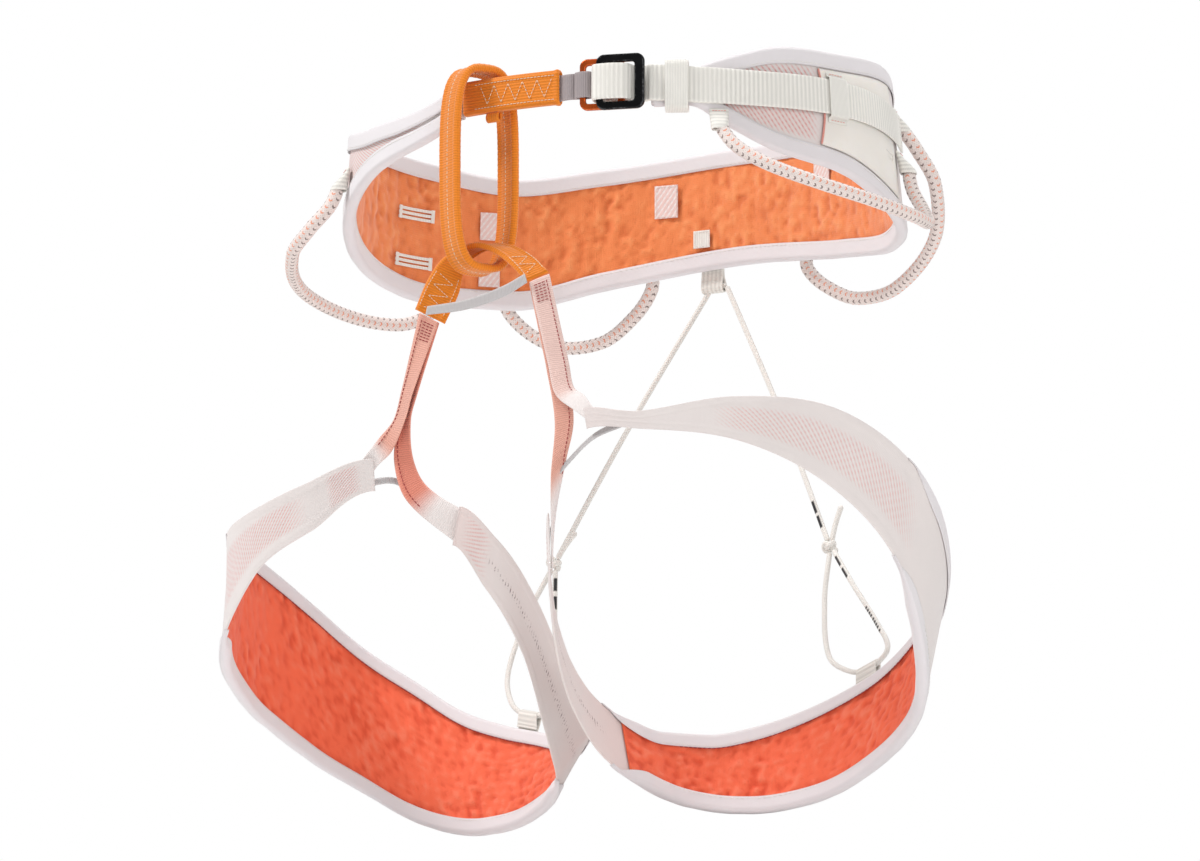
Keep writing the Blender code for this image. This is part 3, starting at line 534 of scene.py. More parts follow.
def publish(name, verts, faces, corner_uv, look, body, nodes=(), marks=None, joined=None,
            repainted=True):
    mesh = bpy.data.meshes.new(name)
    mesh.from_pydata(place(verts).tolist(), [], [list(f) for f in faces])
    layer = mesh.uv_layers.new(name="mm")
    layer.data.foreach_set("uv", np.concatenate([np.asarray(c, np.float32).ravel() for c in corner_uv]))
    for mark, values in (marks or {}).items():
        attribute = mesh.attributes.new(mark, "FLOAT", "POINT")
        attribute.data.foreach_set("value", np.asarray(values, np.float32).ravel())
    work = bmesh.new()
    work.from_mesh(mesh)
    bmesh.ops.recalc_face_normals(work, faces=work.faces)
    for face in work.faces:
        face.smooth = True
    work.to_mesh(mesh)
    work.free()
    obj = bpy.data.objects.new(name, mesh)
    bpy.context.scene.collection.objects.link(obj)
    mesh.materials.append(LOOKS[look])
    if joined:
        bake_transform(obj)
    else:
        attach(obj, body)
    if nodes:
        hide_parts(*nodes)
    repainted and look in SLOTS


def normals(mid, closed_u, closed_v):
    def slope(a, axis, closed):
        if closed:
            return np.roll(a, -1, axis) - np.roll(a, 1, axis)
        return np.gradient(a, axis=axis)
    return unit(np.cross(slope(mid, 0, closed_u), slope(mid, 1, closed_v)))


def lengths(mid, axis, closed):
    """Mean distance run along an axis of a grid, with the closing step for a ring."""
    step = np.linalg.norm(np.diff(mid, axis=axis), axis=-1).mean(axis=1 - axis)
    if closed:
        last = mid.take(0, axis) - mid.take(-1, axis)
        step = np.append(step, np.linalg.norm(last, axis=-1).mean())
    return np.concatenate([[0.0], np.cumsum(step)])


def grid_faces(nu, nv, closed_u, closed_v, run_u, run_v):
    """The quads of a grid of points, and each corner's distance along the grid both ways."""
    a, b = grid(np.arange(nu if closed_u else nu - 1), np.arange(nv if closed_v else nv - 1))
    a1, b1 = (a + 1) % nu, (b + 1) % nv
    quads = np.stack([a * nv + b, a1 * nv + b, a1 * nv + b1, a * nv + b1], axis=-1).reshape(-1, 4)
    corners = ((a, b), (a + 1, b), (a + 1, b + 1), (a, b + 1))
    uv = np.stack([np.stack([run_u[i], run_v[j]], -1) for i, j in corners], axis=-2).reshape(-1, 4, 2)
    return quads, uv


def slab(name, mid, thick, look, body, nodes=(), front=0.0, back=0.0, closed_u=False, closed_v=False,
         flip=False, marks=None, rim=0.3, **kw):
    """A closed solid sheet round a mid surface, with relief on its faces and rounded rims."""
    nu, nv = mid.shape[:2]
    n = normals(mid, closed_u, closed_v) * (-1.0 if flip else 1.0)
    run_u, run_v = lengths(mid, 0, closed_u), lengths(mid, 1, closed_v)
    du = np.full(nu, 1e3) if closed_u else np.minimum(run_u, run_u[-1] - run_u)
    dv = np.full(nv, 1e3) if closed_v else np.minimum(run_v, run_v[-1] - run_v)
    inset = np.minimum(du[:, None], dv[None, :])
    reach = np.clip(inset / max(0.5 * float(np.max(thick)), 0.2), 0.0, 1.0)
    half = 0.5 * thick * (rim + (1.0 - rim) * np.sqrt(1.0 - (1.0 - reach) ** 2))
    top = mid + n * (half + front * reach)[..., None]
    low = mid - n * (half + back * reach)[..., None]
    shift = nu * nv
    quads, uv = grid_faces(nu, nv, closed_u, closed_v, run_u, run_v)
    faces, uvs = [quads, quads[:, ::-1] + shift], [uv, uv[:, ::-1]]

    def wall(line, where):
        faces.append(np.stack([line[:-1], line[1:], line[1:] + shift, line[:-1] + shift], axis=-1))
        uvs.append(np.stack([where[:-1], where[1:], where[1:], where[:-1]], axis=-2))

    if not closed_v:
        loop = np.arange(nu + 1) % nu if closed_u else np.arange(nu)
        at = run_u[:len(loop)]
        wall(loop * nv, np.stack([at, 0 * at], -1))
        wall(loop * nv + nv - 1, np.stack([at, 0 * at + run_v[-1]], -1))
    if not closed_u:
        loop = np.arange(nv + 1) % nv if closed_v else np.arange(nv)
        at = run_v[:len(loop)]
        wall(loop, np.stack([0 * at, at], -1))
        wall(loop + (nu - 1) * nv, np.stack([0 * at + run_u[-1], at], -1))
    spots = {"rub": np.clip(1.0 - inset / RUBBED, 0.0, 1.0), **(marks or {})}
    spots = {k: np.tile(np.broadcast_to(m, (nu, nv)).ravel(), 2) for k, m in spots.items()}
    verts = np.concatenate([top.reshape(-1, 3), low.reshape(-1, 3)])
    publish(name, verts, np.concatenate(faces), uvs, look, body, nodes, spots, **kw)


def tube(name, path, radius, look, body, nodes=(), segments=12, closed=False, relief=None, dash=None,
         dash_turn=0.0, **kw):
    """A cord along an evenly sampled path, its ends rounded off."""
    path = np.asarray(path, float)
    count = len(path)
    if closed:
        tangent = unit(np.roll(path, -1, 0) - np.roll(path, 1, 0))
    else:
        tangent = unit(np.gradient(path, axis=0))
    side = np.zeros_like(path)
    first = np.cross(tangent[0], (0.0, 0.0, 1.0))
    if np.linalg.norm(first) < 0.2:
        first = np.cross(tangent[0], (1.0, 0.0, 0.0))
    side[0] = unit(first)
    for k in range(1, count):
        s = side[k - 1] - tangent[k] * (side[k - 1] @ tangent[k])
        side[k] = s / np.linalg.norm(s)
    if closed:
        twist = np.arctan2(np.cross(side[-1], side[0]) @ tangent[0], side[-1] @ side[0])
        for k in range(count):
            a = twist * k / count
            s = side[k]
            side[k] = s * math.cos(a) + np.cross(tangent[k], s) * math.sin(a)
    other = np.cross(tangent, side)
    angle = np.arange(segments) * 2 * math.pi / segments
    run = np.concatenate([[0.0], np.cumsum(np.linalg.norm(np.diff(path, axis=0), axis=1))])
    r = np.broadcast_to(np.asarray(radius, float).reshape(-1, 1), (count, segments)).copy()
    if relief is not None:
        r = r + relief(run[:, None], angle[None, :])
    if not closed:
        ends = np.minimum(run, run[-1] - run) / np.maximum(r[:, 0], 1e-6)
        r *= np.sqrt(1.0 - (1.0 - np.clip(ends, 0.04, 1.0)) ** 2)[:, None]
    ring = side[:, None] * np.cos(angle)[None, :, None] + other[:, None] * np.sin(angle)[None, :, None]
    verts = (path[:, None] + ring * r[..., None]).reshape(-1, 3)
    mean = float(np.mean(np.asarray(radius, float)))
    full = np.append(run, run[-1] + np.linalg.norm(path[0] - path[-1]))
    arc = np.arange(segments + 1) * 2 * math.pi / segments * mean
    quads, uv = grid_faces(count, segments, closed, True, full, arc)
    faces = quads.tolist()
    uvs = [uv]
    if not closed:
        faces.append(list(range(segments)))
        faces.append(list(range((count - 1) * segments, count * segments)))
        uvs += [np.zeros((segments, 2)), np.zeros((segments, 2)) + (run[-1], 0.0)]
    marks = {"rub": np.zeros(count * segments)}
    if dash:
        inked = np.any([(run > s0) & (run < s1) for s0, s1 in dash], axis=0)
        marks["dash"] = (inked[:, None] & (np.abs(np.cos(angle - dash_turn))[None, :] > 0.6)).astype(float)
    publish(name, verts, faces, uvs, look, body, nodes, marks, **kw)


def stitches(name, runs, look, body, pitch=2.7, length=1.9, radius=0.2, lift=0.0, **kw):
    """Rows of sewn stitches: runs is a list of (path, normals) laid on a surface."""
    ring = 6
    xs = np.array([-0.5, -0.42, 0.0, 0.42, 0.5]) * length
    rs = np.array([0.25, 0.8, 1.0, 0.8, 0.25]) * radius
    a = np.arange(ring) * 2 * math.pi / ring
    rounds = [np.outer(rs, np.cos(a)).ravel(), np.outer(rs, np.sin(a)).ravel()]
    local = np.stack([np.repeat(xs, ring), *rounds], 1)
    local[:, 2] += np.repeat([-0.12, 0.0, 0.06, 0.0, -0.12], ring)
    quads = [[k * ring + m, (k + 1) * ring + m, (k + 1) * ring + (m + 1) % ring, k * ring + (m + 1) % ring]
             for k in range(4) for m in range(ring)]
    caps = [list(range(ring))[::-1], list(range(4 * ring, 5 * ring))]
    verts, faces, uvs = [], [], []
    for path, normal in runs:
        rows = even(np.concatenate([np.asarray(path, float), np.asarray(normal, float)], axis=1), pitch)
        centre = 0.5 * (rows[:-1, :3] + rows[1:, :3])
        along = unit(rows[1:, :3] - rows[:-1, :3])
        up = unit(rows[:-1, 3:] + rows[1:, 3:])
        side = unit(np.cross(up, along))
        up = np.cross(along, side)
        for c, t, s, n in zip(centre, along, side, up):
            base = len(verts) * len(local)
            verts.append(c + n * lift + local[:, :1] * t + local[:, 1:2] * s + local[:, 2:] * n)
            faces += [[base + k for k in f] for f in quads + caps]
            for f in quads + caps:
                uvs.append(local[f, :2])
    publish(name, np.concatenate(verts), faces, uvs, look, body, (), {}, **kw)


PRESSURE = {
    "quality": 6, "mass": 0.3, "tension_stiffness": 12.0, "compression_stiffness": 12.0,
    "shear_stiffness": 4.0, "bending_stiffness": 0.3, "use_pressure": True,
    "uniform_pressure_force": 4.0, "vertex_group_mass": "held",
}


def puff(mid, thick, cap, flip=False):
    """How far one face of a padded sheet rises when it is blown up with its border and back held."""
    nu, nv = mid.shape[:2]
    n = normals(mid, False, False) * (-1.0 if flip else 1.0)
    top, low = mid - n * 0.5 * thick, mid + n * 0.5 * thick
    mesh = bpy.data.meshes.new("pad_under_pressure")
    verts = np.concatenate([top.reshape(-1, 3), low.reshape(-1, 3)])
    shift = nu * nv
    faces = []
    for quad in grid_faces(nu, nv, False, False, np.arange(nu), np.arange(nv))[0].tolist():
        faces += [quad, [k + shift for k in quad[::-1]]]
    border = [i * nv for i in range(nu)] + [(nu - 1) * nv + j for j in range(1, nv)]
    border += [i * nv + nv - 1 for i in range(nu - 2, -1, -1)] + [j for j in range(nv - 2, 0, -1)]
    for a, b in zip(border, border[1:] + border[:1]):
        faces.append([a, b, b + shift, a + shift])
    mesh.from_pydata(place(verts).tolist(), [], faces)
    work = bmesh.new()
    work.from_mesh(mesh)
    bmesh.ops.recalc_face_normals(work, faces=work.faces)
    work.to_mesh(mesh)
    work.free()
    pad = bpy.data.objects.new("pad_under_pressure", mesh)
    bpy.context.scene.collection.objects.link(pad)
    held = pad.vertex_groups.new(name="held")
    held.add(border + list(range(shift, 2 * shift)), 1.0, "REPLACE")
    cloth = pad.modifiers.new("cloth", "CLOTH")
    for rule, value in PRESSURE.items():
        setattr(cloth.settings, rule, value)
    cloth.settings.effector_weights.gravity = 0.0
    cloth.collision_settings.use_collision = False
    scene = bpy.context.scene
    for at in range(1, 21):
        scene.frame_set(at)
    shaped = pad.evaluated_get(bpy.context.evaluated_depsgraph_get()).to_mesh()
    co = np.zeros(len(verts) * 3, np.float32)
    shaped.vertices.foreach_get("co", co)
    scene.frame_set(1)
    bpy.data.objects.remove(pad)
    moved = co.reshape(-1, 3)[:shift].reshape(nu, nv, 3) - place(top)
    rise = (moved * -n).sum(axis=-1) / MM
    rise = np.clip(rise, 0.0, None)
    return cap * rise / (rise + 0.6 * cap)


def resized(values, nu, nv):
    """A grid of numbers resampled to another size."""
    a = np.linspace(0, values.shape[0] - 1, nu)
    b = np.linspace(0, values.shape[1] - 1, nv)
    rows = np.stack([np.interp(b, np.arange(values.shape[1]), row) for row in values])
    return np.stack([np.interp(a, np.arange(values.shape[0]), col) for col in rows.T], axis=1)


def box_mask(u, v, low_u, high_u, low_v, high_v, soft_u=3.0, soft_v=0.06):
    return band(u, low_u, high_u, soft_u) * band(v, low_v, high_v, soft_v)


# Waist belt ----------------------------------------------------------------------------------

def belt_z(phi, v):
    edges = keyed(BELT_EDGES, phi)
    return edges[..., 1] * (1.0 - v) + edges[..., 0] * v


def pebbles(u, v, seed, slant=0.0):
    """Irregular raised cells, as foam shows through a tight lining."""
    a, b = u + slant * v, v - slant * u
    cells = 0.95 * relief_noise(a, b, 3.6, seed) + 0.55 * relief_noise(a, b, 2.1, seed + 1)
    rows = np.sin(2 * math.pi * (a + 2.4 * relief_noise(u, v, 9.0, seed + 3)) / 7.4)
    return (cells + 0.25 * rows) * (0.75 + 0.45 * relief_noise(u, v, 17.0, seed + 2))


def build_belt_lining():
    coarse_u = np.linspace(BELT_START + 0.6, BELT_END - 0.6, 190)
    coarse_v = np.linspace(0.03, 0.97, 15)
    u, v = grid(coarse_u, coarse_v)
    rise = puff(waist(u, belt_z(u, v), 1.0), 1.6, 1.5)
    us = np.linspace(BELT_START + 0.6, BELT_END - 0.6, 720)
    vs = np.linspace(0.03, 0.97, 52)
    u, v = grid(us, vs)
    mid = waist(u, belt_z(u, v), 1.0)
    run_u, run_v = lengths(mid, 0, False), lengths(mid, 1, False)
    wide = (keyed(BELT_EDGES, us)[:, 0] - keyed(BELT_EDGES, us)[:, 1])[:, None] * vs[None, :]
    texture = pebbles(run_u[:, None], wide, 5)
    calm = 0.45 + 0.55 * box_mask(u, v, 95.0, 300.0, 0.0, 1.0, 40.0, 0.01)
    inward = resized(rise, len(us), len(vs)) + 0.62 * texture * calm
    inward += 0.25 * relief_noise(run_u[:, None], wide, 34.0, 12)
    # Masks for painted shade in the hollows of the foam's relief and a painted highlight on its raised tops.
    hollow_shade = np.clip(-1.6 * texture - 0.3, 0, 1) * calm
    slab("belt_lining", mid, 1.6, "lining", "waist", ["waist_lining"], back=inward,
         marks={"hollow_shade": hollow_shade, "crown_highlight": np.clip(1.6 * texture - 0.3, 0, 1) * calm})


def build_belt_shell():
    us = np.linspace(BELT_START + 0.4, BELT_END - 0.3, 480)
    vs = np.linspace(0.02, 0.98, 26)
    u, v = grid(us, vs)
    wrinkle = 0.16 * relief_noise(u * 2.2, v * 50, 9.0, 31) + 0.12 * relief_noise(u * 2.2, v * 50, 22.0, 32)
    mid = waist(u, belt_z(u, v), 3.6)
    left = box_mask(u, v, 40.0, 72.0, 0.17, 0.86, 3.0, 0.05)
    right = box_mask(u, v, 296.0, 341.0, 0.2, 0.84, 5.0, 0.06)
    back = box_mask(u, v, 112.0, 150.0, 0.2, 0.8, 6.0, 0.06) * 0.4
    warm = box_mask(u, v, 40.0, 72.0, 0.17, 0.6, 3.0, 0.05) * 0.22 + right * 0.12
    slab("belt_shell", mid, 0.6, "shell", "waist", ["waist_outer_fabric"], front=wrinkle,
         marks={"field": np.maximum(np.maximum(left, right), back), "warm": warm})


def fold_profile(low, high, flap, top, count=7):
    """Mid line of a folded tape from the inner flap's rim, over the edge, to the outer flap's rim."""
    centre, half = 0.5 * (low + high), 0.5 * (high - low)
    a = np.linspace(math.pi, 0.0, 9)
    inner = np.stack([np.full(count, low), np.linspace(-flap, -1.4, count)], 1)
    bend = np.stack([centre + half * np.cos(a), -1.2 + (1.2 + top) * np.sin(a)], 1)
    outer = np.stack([np.full(count, high), np.linspace(-1.4, -flap, count)], 1)
    return np.concatenate([inner, bend, outer])


def build_belt_binding(upper):
    word = "upper" if upper else "lower"
    sign = 1.0 if upper else -1.0
    us = np.linspace(BELT_START, 348.6, 380)
    edges = keyed(BELT_EDGES, us)
    edge = edges[:, 0] if upper else edges[:, 1]
    flap = np.minimum(8.0, 0.5 * (edges[:, 0] - edges[:, 1]) - 0.9)
    profile = fold_profile(-0.9, 4.9, 8.0, 0.8)
    rise = np.where(profile[None, :, 1] < 0, profile[None, :, 1] * flap[:, None] / 8.0, profile[None, :, 1])
    z = edge[:, None] + sign * rise
    mid = waist(us[:, None], z, profile[None, :, 0])
    wave = 0.12 * relief_noise(us[:, None] * 2.2, profile[None, :, 1], 7.0, 41 + upper)
    slab(f"belt_binding_{word}", mid, 0.6, "binding", "waist", [f"waist_binding_{word}"], front=wave)
    keep = us[(us > 34) & (us < 343)]
    reach = np.interp(keep, us, flap) - 1.3
    line = np.interp(keep, us, edge)
    runs = []
    for offset, way in ((-1.25, -1.0), (5.25, 1.0)):
        runs.append((waist(keep, line - sign * reach, offset), waist_normal(keep) * way))
    stitches(f"belt_stitching_{word}", runs, "thread_white", "waist", radius=0.17)


def build_belt_ends():
    """Short tape folded over each cut end of the belt."""
    for name, phi, way in (("left", BELT_START, -1.0), ("right", BELT_END, 1.0)):
        top, bottom = keyed(BELT_EDGES, phi)
        zs = np.linspace(bottom - 0.2, top + 0.2, 26)
        fold = fold_profile(-1.0, 5.0, 5.5, 0.9)
        degree = way * fold[:, 1] / 2.2
        mid = waist(phi + degree[None, :], zs[:, None], fold[None, :, 0])
        slab(f"belt_end_{name}", mid, 0.6, "binding", "waist")


def build_tape():
    us = np.linspace(48.0, 371.0, 420)
    vs = np.linspace(-1.0, 1.0, 15)
    u, v = grid(us, vs)
    row = keyed(LOAD_TAPE, us)
    mid = waist(u, row[:, :1] + v * row[:, 1:], 2.7)
    slab("belt_load_tape", mid, 0.8, "grey", "waist", ["waist_load_tape"])


def build_patches():
    patches = {
        "lining_patch_left_front": (156.0, 1.0, 7.0, 2.6, "patch"),
        "lining_patch_left_rear": (196.0, -3.0, 8.5, 2.6, "patch"),
        "lining_patch_right_upper": (236.0, -14.0, 7.0, 2.6, "patch"),
        "lining_patch_right_lower": (236.0, -40.0, 4.5, 2.6, "patch"),
        "rear_riser_patch": (188.0, -24.0, 4.5, 1.9, "white_patch"),
    }
    for name, (phi, z, half_z, half_phi, look) in patches.items():
        us = np.linspace(phi - half_phi, phi + half_phi, 24)
        vs = z + spread(2 * half_z, 0.8)
        u, v = grid(us, vs)
        inside = box_mask(u, v, us[0] + 0.45, us[-1] - 0.45, vs[0] + 1.1, vs[-1] - 1.1, 0.1, 0.3)
        hem = 0.16 * (1.0 - inside)
        mid = waist(u, v, -1.62)
        slab(f"stitched_{name}", mid, 0.45, look, "waist", [name], back=hem, marks={"field": 1.0})
        a, b = us[0] + 0.35, us[-1] - 0.35
        low, high = vs[0] + 0.9, vs[-1] - 0.9
        corners = [(a, low), (b, low), (b, high), (a, high), (a, low)]
        runs = []
        for (p0, z0), (p1, z1) in zip(corners, corners[1:]):
            p, h = np.linspace(p0, p1, 8), np.linspace(z0, z1, 8)
            runs.append((waist(p, h, -1.98), -waist_normal(p)))
        stitches(f"{name}_stitching", runs, "thread_white", "waist", pitch=1.7, length=1.3, radius=0.16)
    for name, z in (("tool_slot_upper", -12.0), ("tool_slot_lower", -36.0)):
        for k, rise in enumerate((-2.3, 0.0, 2.3)):
            us = np.linspace(251.5, 264.0, 40)
            vs = z + rise + spread(1.5, 0.4, 0.2)
            u, v = grid(us, vs)
            stands_for = [name] if k == 1 else ()
            slab(f"{name}_bar_{k}", waist(u, v, -1.7), 0.5, "white_patch", "waist", stands_for)
        for k, phi in enumerate((252.1, 263.4)):
            us = np.linspace(phi - 0.55, phi + 0.55, 6)
            u, v = grid(us, z + spread(6.6, 0.6, 0.25))
            slab(f"{name}_end_{k}", waist(u, v, -2.0), 0.4, "white_patch", "waist")


def build_hip_panel():
    us = np.linspace(72.0, 104.0, 60)
    vs = np.linspace(0.0, 1.0, 26)
    u, v = grid(us, vs)
    edges = keyed(BELT_EDGES, u)
    bottom, top = edges[..., 1] + 9.0, edges[..., 0] - 8.8
    bow = 1.4 * np.sin(math.pi * v) * np.clip((80.0 - u) / 8.0, 0, 1)
    mid = waist(u + bow, bottom * (1 - v) + top * v, 4.85)
    slab("hip_panel", mid, 0.5, "panel", "waist", ["hip_panel_left"],
         front=0.1 * relief_noise(u * 2.4, v * 60, 14.0, 51))
    seam = even(waist(u[0] + bow[0], (bottom * (1 - v) + top * v)[0], 5.15), 0.8)
    tube("hip_panel_piping", seam, 0.55, "thread_pink", "waist", segments=8)
    tack = [(97.0, -15.0), (101.0, -16.5), (101.2, -19.0), (97.4, -18.5)]
    path = np.concatenate([waist(np.linspace(a[0], b[0], 6), np.linspace(a[1], b[1], 6), 5.3)
                           for a, b in zip(tack, tack[1:])])
    phi = np.linspace(97.0, 101.0, len(path))
    stitches("hip_panel_tack", [(path, waist_normal(phi))], "thread_white", "waist", pitch=1.6, length=1.2,
             lift=0.05)


# Front: sleeve, buckle and strap ---------------------------------------------------------------

def rounded_box(low, high, half_height, corner, steps):
    """A rounded rectangle of (across, height), corner by corner from the upper far one."""
    far, near, top = high - corner, low + corner, half_height - corner
    quarter = 0.5 * math.pi
    rows = []
    for k, (across, height) in enumerate(((far, top), (near, top), (near, -top), (far, -top))):
        turn = np.linspace(quarter * k, quarter * (k + 1), steps)
        rows.append(np.stack([across + corner * np.cos(turn), height + corner * np.sin(turn)], 1))
    return np.concatenate(rows)


def band_profile(low, high, half_height, corner, count):
    """A closed rounded rectangle, evenly sampled."""
    box = rounded_box(low, high, half_height, corner, 7)
    return even(np.concatenate([box, box[:1]]), count=count + 1)[:-1]


def buckle_place(s, n, z):
    out = waist_normal(np.float64(BUCKLE_PHI))
    along = np.array((-out[1], out[0], 0.0))
    base = waist(BUCKLE_PHI, 0.0, 0.0)
    s, n, z = np.broadcast_arrays(*[np.asarray(a, float) for a in (s, n, z)])
    return base + along * s[..., None] + out * n[..., None] + UP * (z + BUCKLE_Z)[..., None]


def build_sleeve():
    profile = band_profile(1.5, 5.5, 8.2, 1.9, 64)
    us = np.linspace(-8.5, 13.5, 90)
    ridge = 0.35 * rising(np.abs(profile[:, 1]), 5.6, 1.4) * (profile[:, 0] > 4.5)
    cords = 0.14 * np.sin(2 * math.pi * profile[:, 1] / 1.5) * (profile[:, 0] > 4.5)
    end = 0.5 * np.exp(-((us - 13.0) / 0.5) ** 2)
    mid = waist(us[:, None], 7.3 + profile[None, :, 1], profile[None, :, 0])
    slab("tie_in_sleeve_webbing", mid, 1.0, "orange_long", "waist", ["tie_in_sleeve"],
         closed_v=True, flip=True, back=(ridge + cords)[None, :] + end[:, None])
    zig = []
    rows = np.linspace(-4.0, 12.0, 11)
    for k in range(10):
        z0, z1 = (4.6, -4.6) if k % 2 == 0 else (-4.6, 4.6)
        p = np.linspace(rows[k], rows[k + 1], 8)
        zig.append((waist(p, 7.3 + np.linspace(z0, z1, 8), 6.25), waist_normal(p)))
    for z in (6.0, -6.2):
        p = np.linspace(-5.5, 12.6, 40)
        zig.append((waist(p, 7.3 + z + 0 * p, 6.3), waist_normal(p)))
    stitches("tie_in_sleeve_zigzag", zig, "thread_pale", "waist", pitch=1.9, length=1.5, radius=0.2)
    us = np.linspace(-3.2, -0.2, 12)
    profile = flowing([(3.9, -0.5, 0), (4.6, -4.0, 0), (3.2, -6.2, 0), (1.6, -4.0, 0), (1.9, -0.5, 0)], 0.7)
    mid = waist(us[:, None], -0.9 + profile[None, :, 1] * 0.8, profile[None, :, 0])
    slab("sleeve_pull_tab", mid, 0.9, "orange", "waist", repainted=False)


def build_anchor():
    web = [waist(4.0, 7.3, 3.9), waist(9.0, 7.0, 3.9), waist(13.5, 6.7, 4.1)]
    web += [buckle_place(s, n, 0.0) for s, n in (
        (-20.5, 5.5), (-16.0, 5.4), (-12.0, 5.2), (-9.1, 6.0), (-8.7, 8.0), (-10.0, 9.6), (-13.0, 9.8),
        (-15.5, 8.8), (-17.1, 7.4))]
    line = flowing(web, 0.6)
    vs = spread(13.2, 0.8)
    mid = line[:, None, :] + UP * vs[None, :, None]
    check = 0.08 * np.sign(np.sin(np.arange(len(line))[:, None] * 0.9) * np.sin(vs[None, :] * 2.6))
    slab("anchor_webbing_fold", mid, 0.8, "grey", "waist", ["anchor_webbing"], front=check)


def build_buckle_frame(name, node, span, half_z, bars, open_half, inner, outer, look, body):
    """A forged frame with rounded bars, its cross section swept round the opening."""
    rim = rounded_box(*span, half_z, 4.0, 18)
    hole = rounded_box(span[0] + bars[0], span[1] - bars[1], open_half, 1.6, 18)
    middle, half = 0.5 * (rim + hole), 0.5 * (rim - hole)
    depth = 0.5 * (outer - inner)
    turn = np.linspace(0.0, 2 * math.pi, 21)[:-1]
    c, s = np.cos(turn), np.sin(turn)
    across, lift = squared(c, 0.45), squared(s, 0.45)
    at = middle[:, None, :] + half[:, None, :] * across[None, :, None]
    n = 0.5 * (inner + outer) + depth * lift[None, :] + 0 * at[..., 0]
    verts = buckle_place(at[..., 0], n, at[..., 1])
    k, m = len(rim), len(turn)
    quads, uv = grid_faces(k, m, True, True, np.arange(k + 1) * 1.3, np.arange(m + 1) * 0.6)
    rub = (np.abs(across) > 0.75) & (np.abs(lift) > 0.6)
    publish(name, verts.reshape(-1, 3), quads, [uv], look, body, [node],
            {"rub": np.broadcast_to(rub[None, :].astype(float), (k, m)).ravel()})


def build_strap():
    line = [buckle_place(s, n, -BUCKLE_Z) for s, n in (
        (1.0, 3.1), (-3.6, 3.3), (-6.6, 5.6), (-7.2, 9.2), (-6.2, 13.0), (-2.6, 14.4), (1.5, 14.7),
        (5.2, 14.4), (9.6, 13.2), (11.6, 10.2), (12.8, 6.8), (15.0, 4.9), (18.0, 4.6))]
    lower = [waist(p, 0.0, n) for p, n in ((48.0, 6.1), (40.0, 6.1), (36.5, 6.1), (33.5, 6.2))]
    lower += [buckle_place(s, n, -BUCKLE_Z) for s, n in ((21.5, 5.2), (18.0, 3.1), (8.0, 3.1))]
    tail = [buckle_place(21.5, 6.8, -BUCKLE_Z)]
    tail += [waist(p, 0.0, n) for p, n in (
        (33.5, 7.75), (36.5, 7.65), (40.0, 7.65), (48.0, 7.65), (56.0, 6.9), (64.0, 6.6),
        (72.0, 6.5), (80.0, 6.5), (88.0, 6.5), (96.0, 6.5), (104.0, 6.5), (112.0, 6.5))]
    path = flowing(np.array(lower + line + tail), 0.4)
    bearing = np.degrees(np.arctan2((path[:, 0] - WAIST_X) / WAIST_A, -path[:, 1] / WAIST_B))
    height = keyed(STRAP_LINE, bearing)[:, 0]
    run = np.arange(len(path)) * 0.4
    vs = spread(18.0, 1.0, 0.3)
    mid = path[:, None, :] + UP * (height[:, None] - path[:, 2:] + vs[None, :])[..., None]
    flare = keyed(BELT_FLARE, np.clip(bearing, 33, 350))[:, 0]
    mid = mid + waist_normal(bearing)[:, None, :] * (-(mid[..., 2] * flare[:, None]))[..., None]
    ribs = 0.26 * (np.abs(np.sin(math.pi * run / 2.4)) ** 0.7)
    flat = np.clip((9.0 - np.abs(vs)) / 0.9, 0, 1)
    slab("waist_strap_webbing", mid, 0.95, "white", "waist", ["waist_strap"],
         front=ribs[:, None] * flat[None, :], back=ribs[:, None] * flat[None, :])
    hem = waist(np.linspace(109.3, 109.3, 12), np.linspace(-9.0, 7.0, 12), 7.1)
    facing = np.repeat(waist_normal(np.array([109.3])), 12, 0)
    stitches("strap_hem_stitching", [(hem, facing)], "thread_white", "waist", pitch=1.9, length=1.4)


def build_keeper():
    profile = band_profile(-2.6, 9.4, 12.3, 2.6, 80)
    out = waist_normal(np.float64(38.0))
    along = np.array((-out[1], out[0], 0.0))
    ss = spread(11.6, 0.7, 0.25)
    base = waist(38.0, 5.1 + profile[:, 1], profile[:, 0])
    mid = base[None, :, :] + along * ss[:, None, None]
    fine = 0.06 * np.sin(2 * math.pi * ss / 1.4)
    slab("elastic_keeper_band", mid, 0.8, "elastic", "keeper", ["elastic_keeper"], closed_v=True, flip=True,
         back=fine[:, None])


def build_tunnel():
    profile = flowing([(5.6, -13.0, 0), (5.9, -10.7, 0), (7.9, -9.9, 0), (8.1, -6.0, 0),
                       (8.1, 6.0, 0), (7.9, 9.9, 0), (5.9, 10.7, 0), (5.6, 13.0, 0)], 0.6)
    us = np.linspace(74.2, 79.8, 22)
    height = keyed(STRAP_LINE, us)[:, 0]
    mid = waist(us[:, None], height[:, None] + profile[None, :, 1], profile[None, :, 0])
    slab("strap_tunnel_band", mid, 0.6, "elastic", "waist", ["strap_tunnel"])
    runs = []
    for z in (-11.9, 11.9):
        p = np.linspace(74.8, 79.2, 10)
        runs.append((waist(p, keyed(STRAP_LINE, p)[:, 0] + z, 6.15), waist_normal(p)))
    stitches("strap_tunnel_stitching", runs, "thread_pink", "waist", pitch=1.7, length=1.3)


# Belay loop and lower tie-in -------------------------------------------------------------------

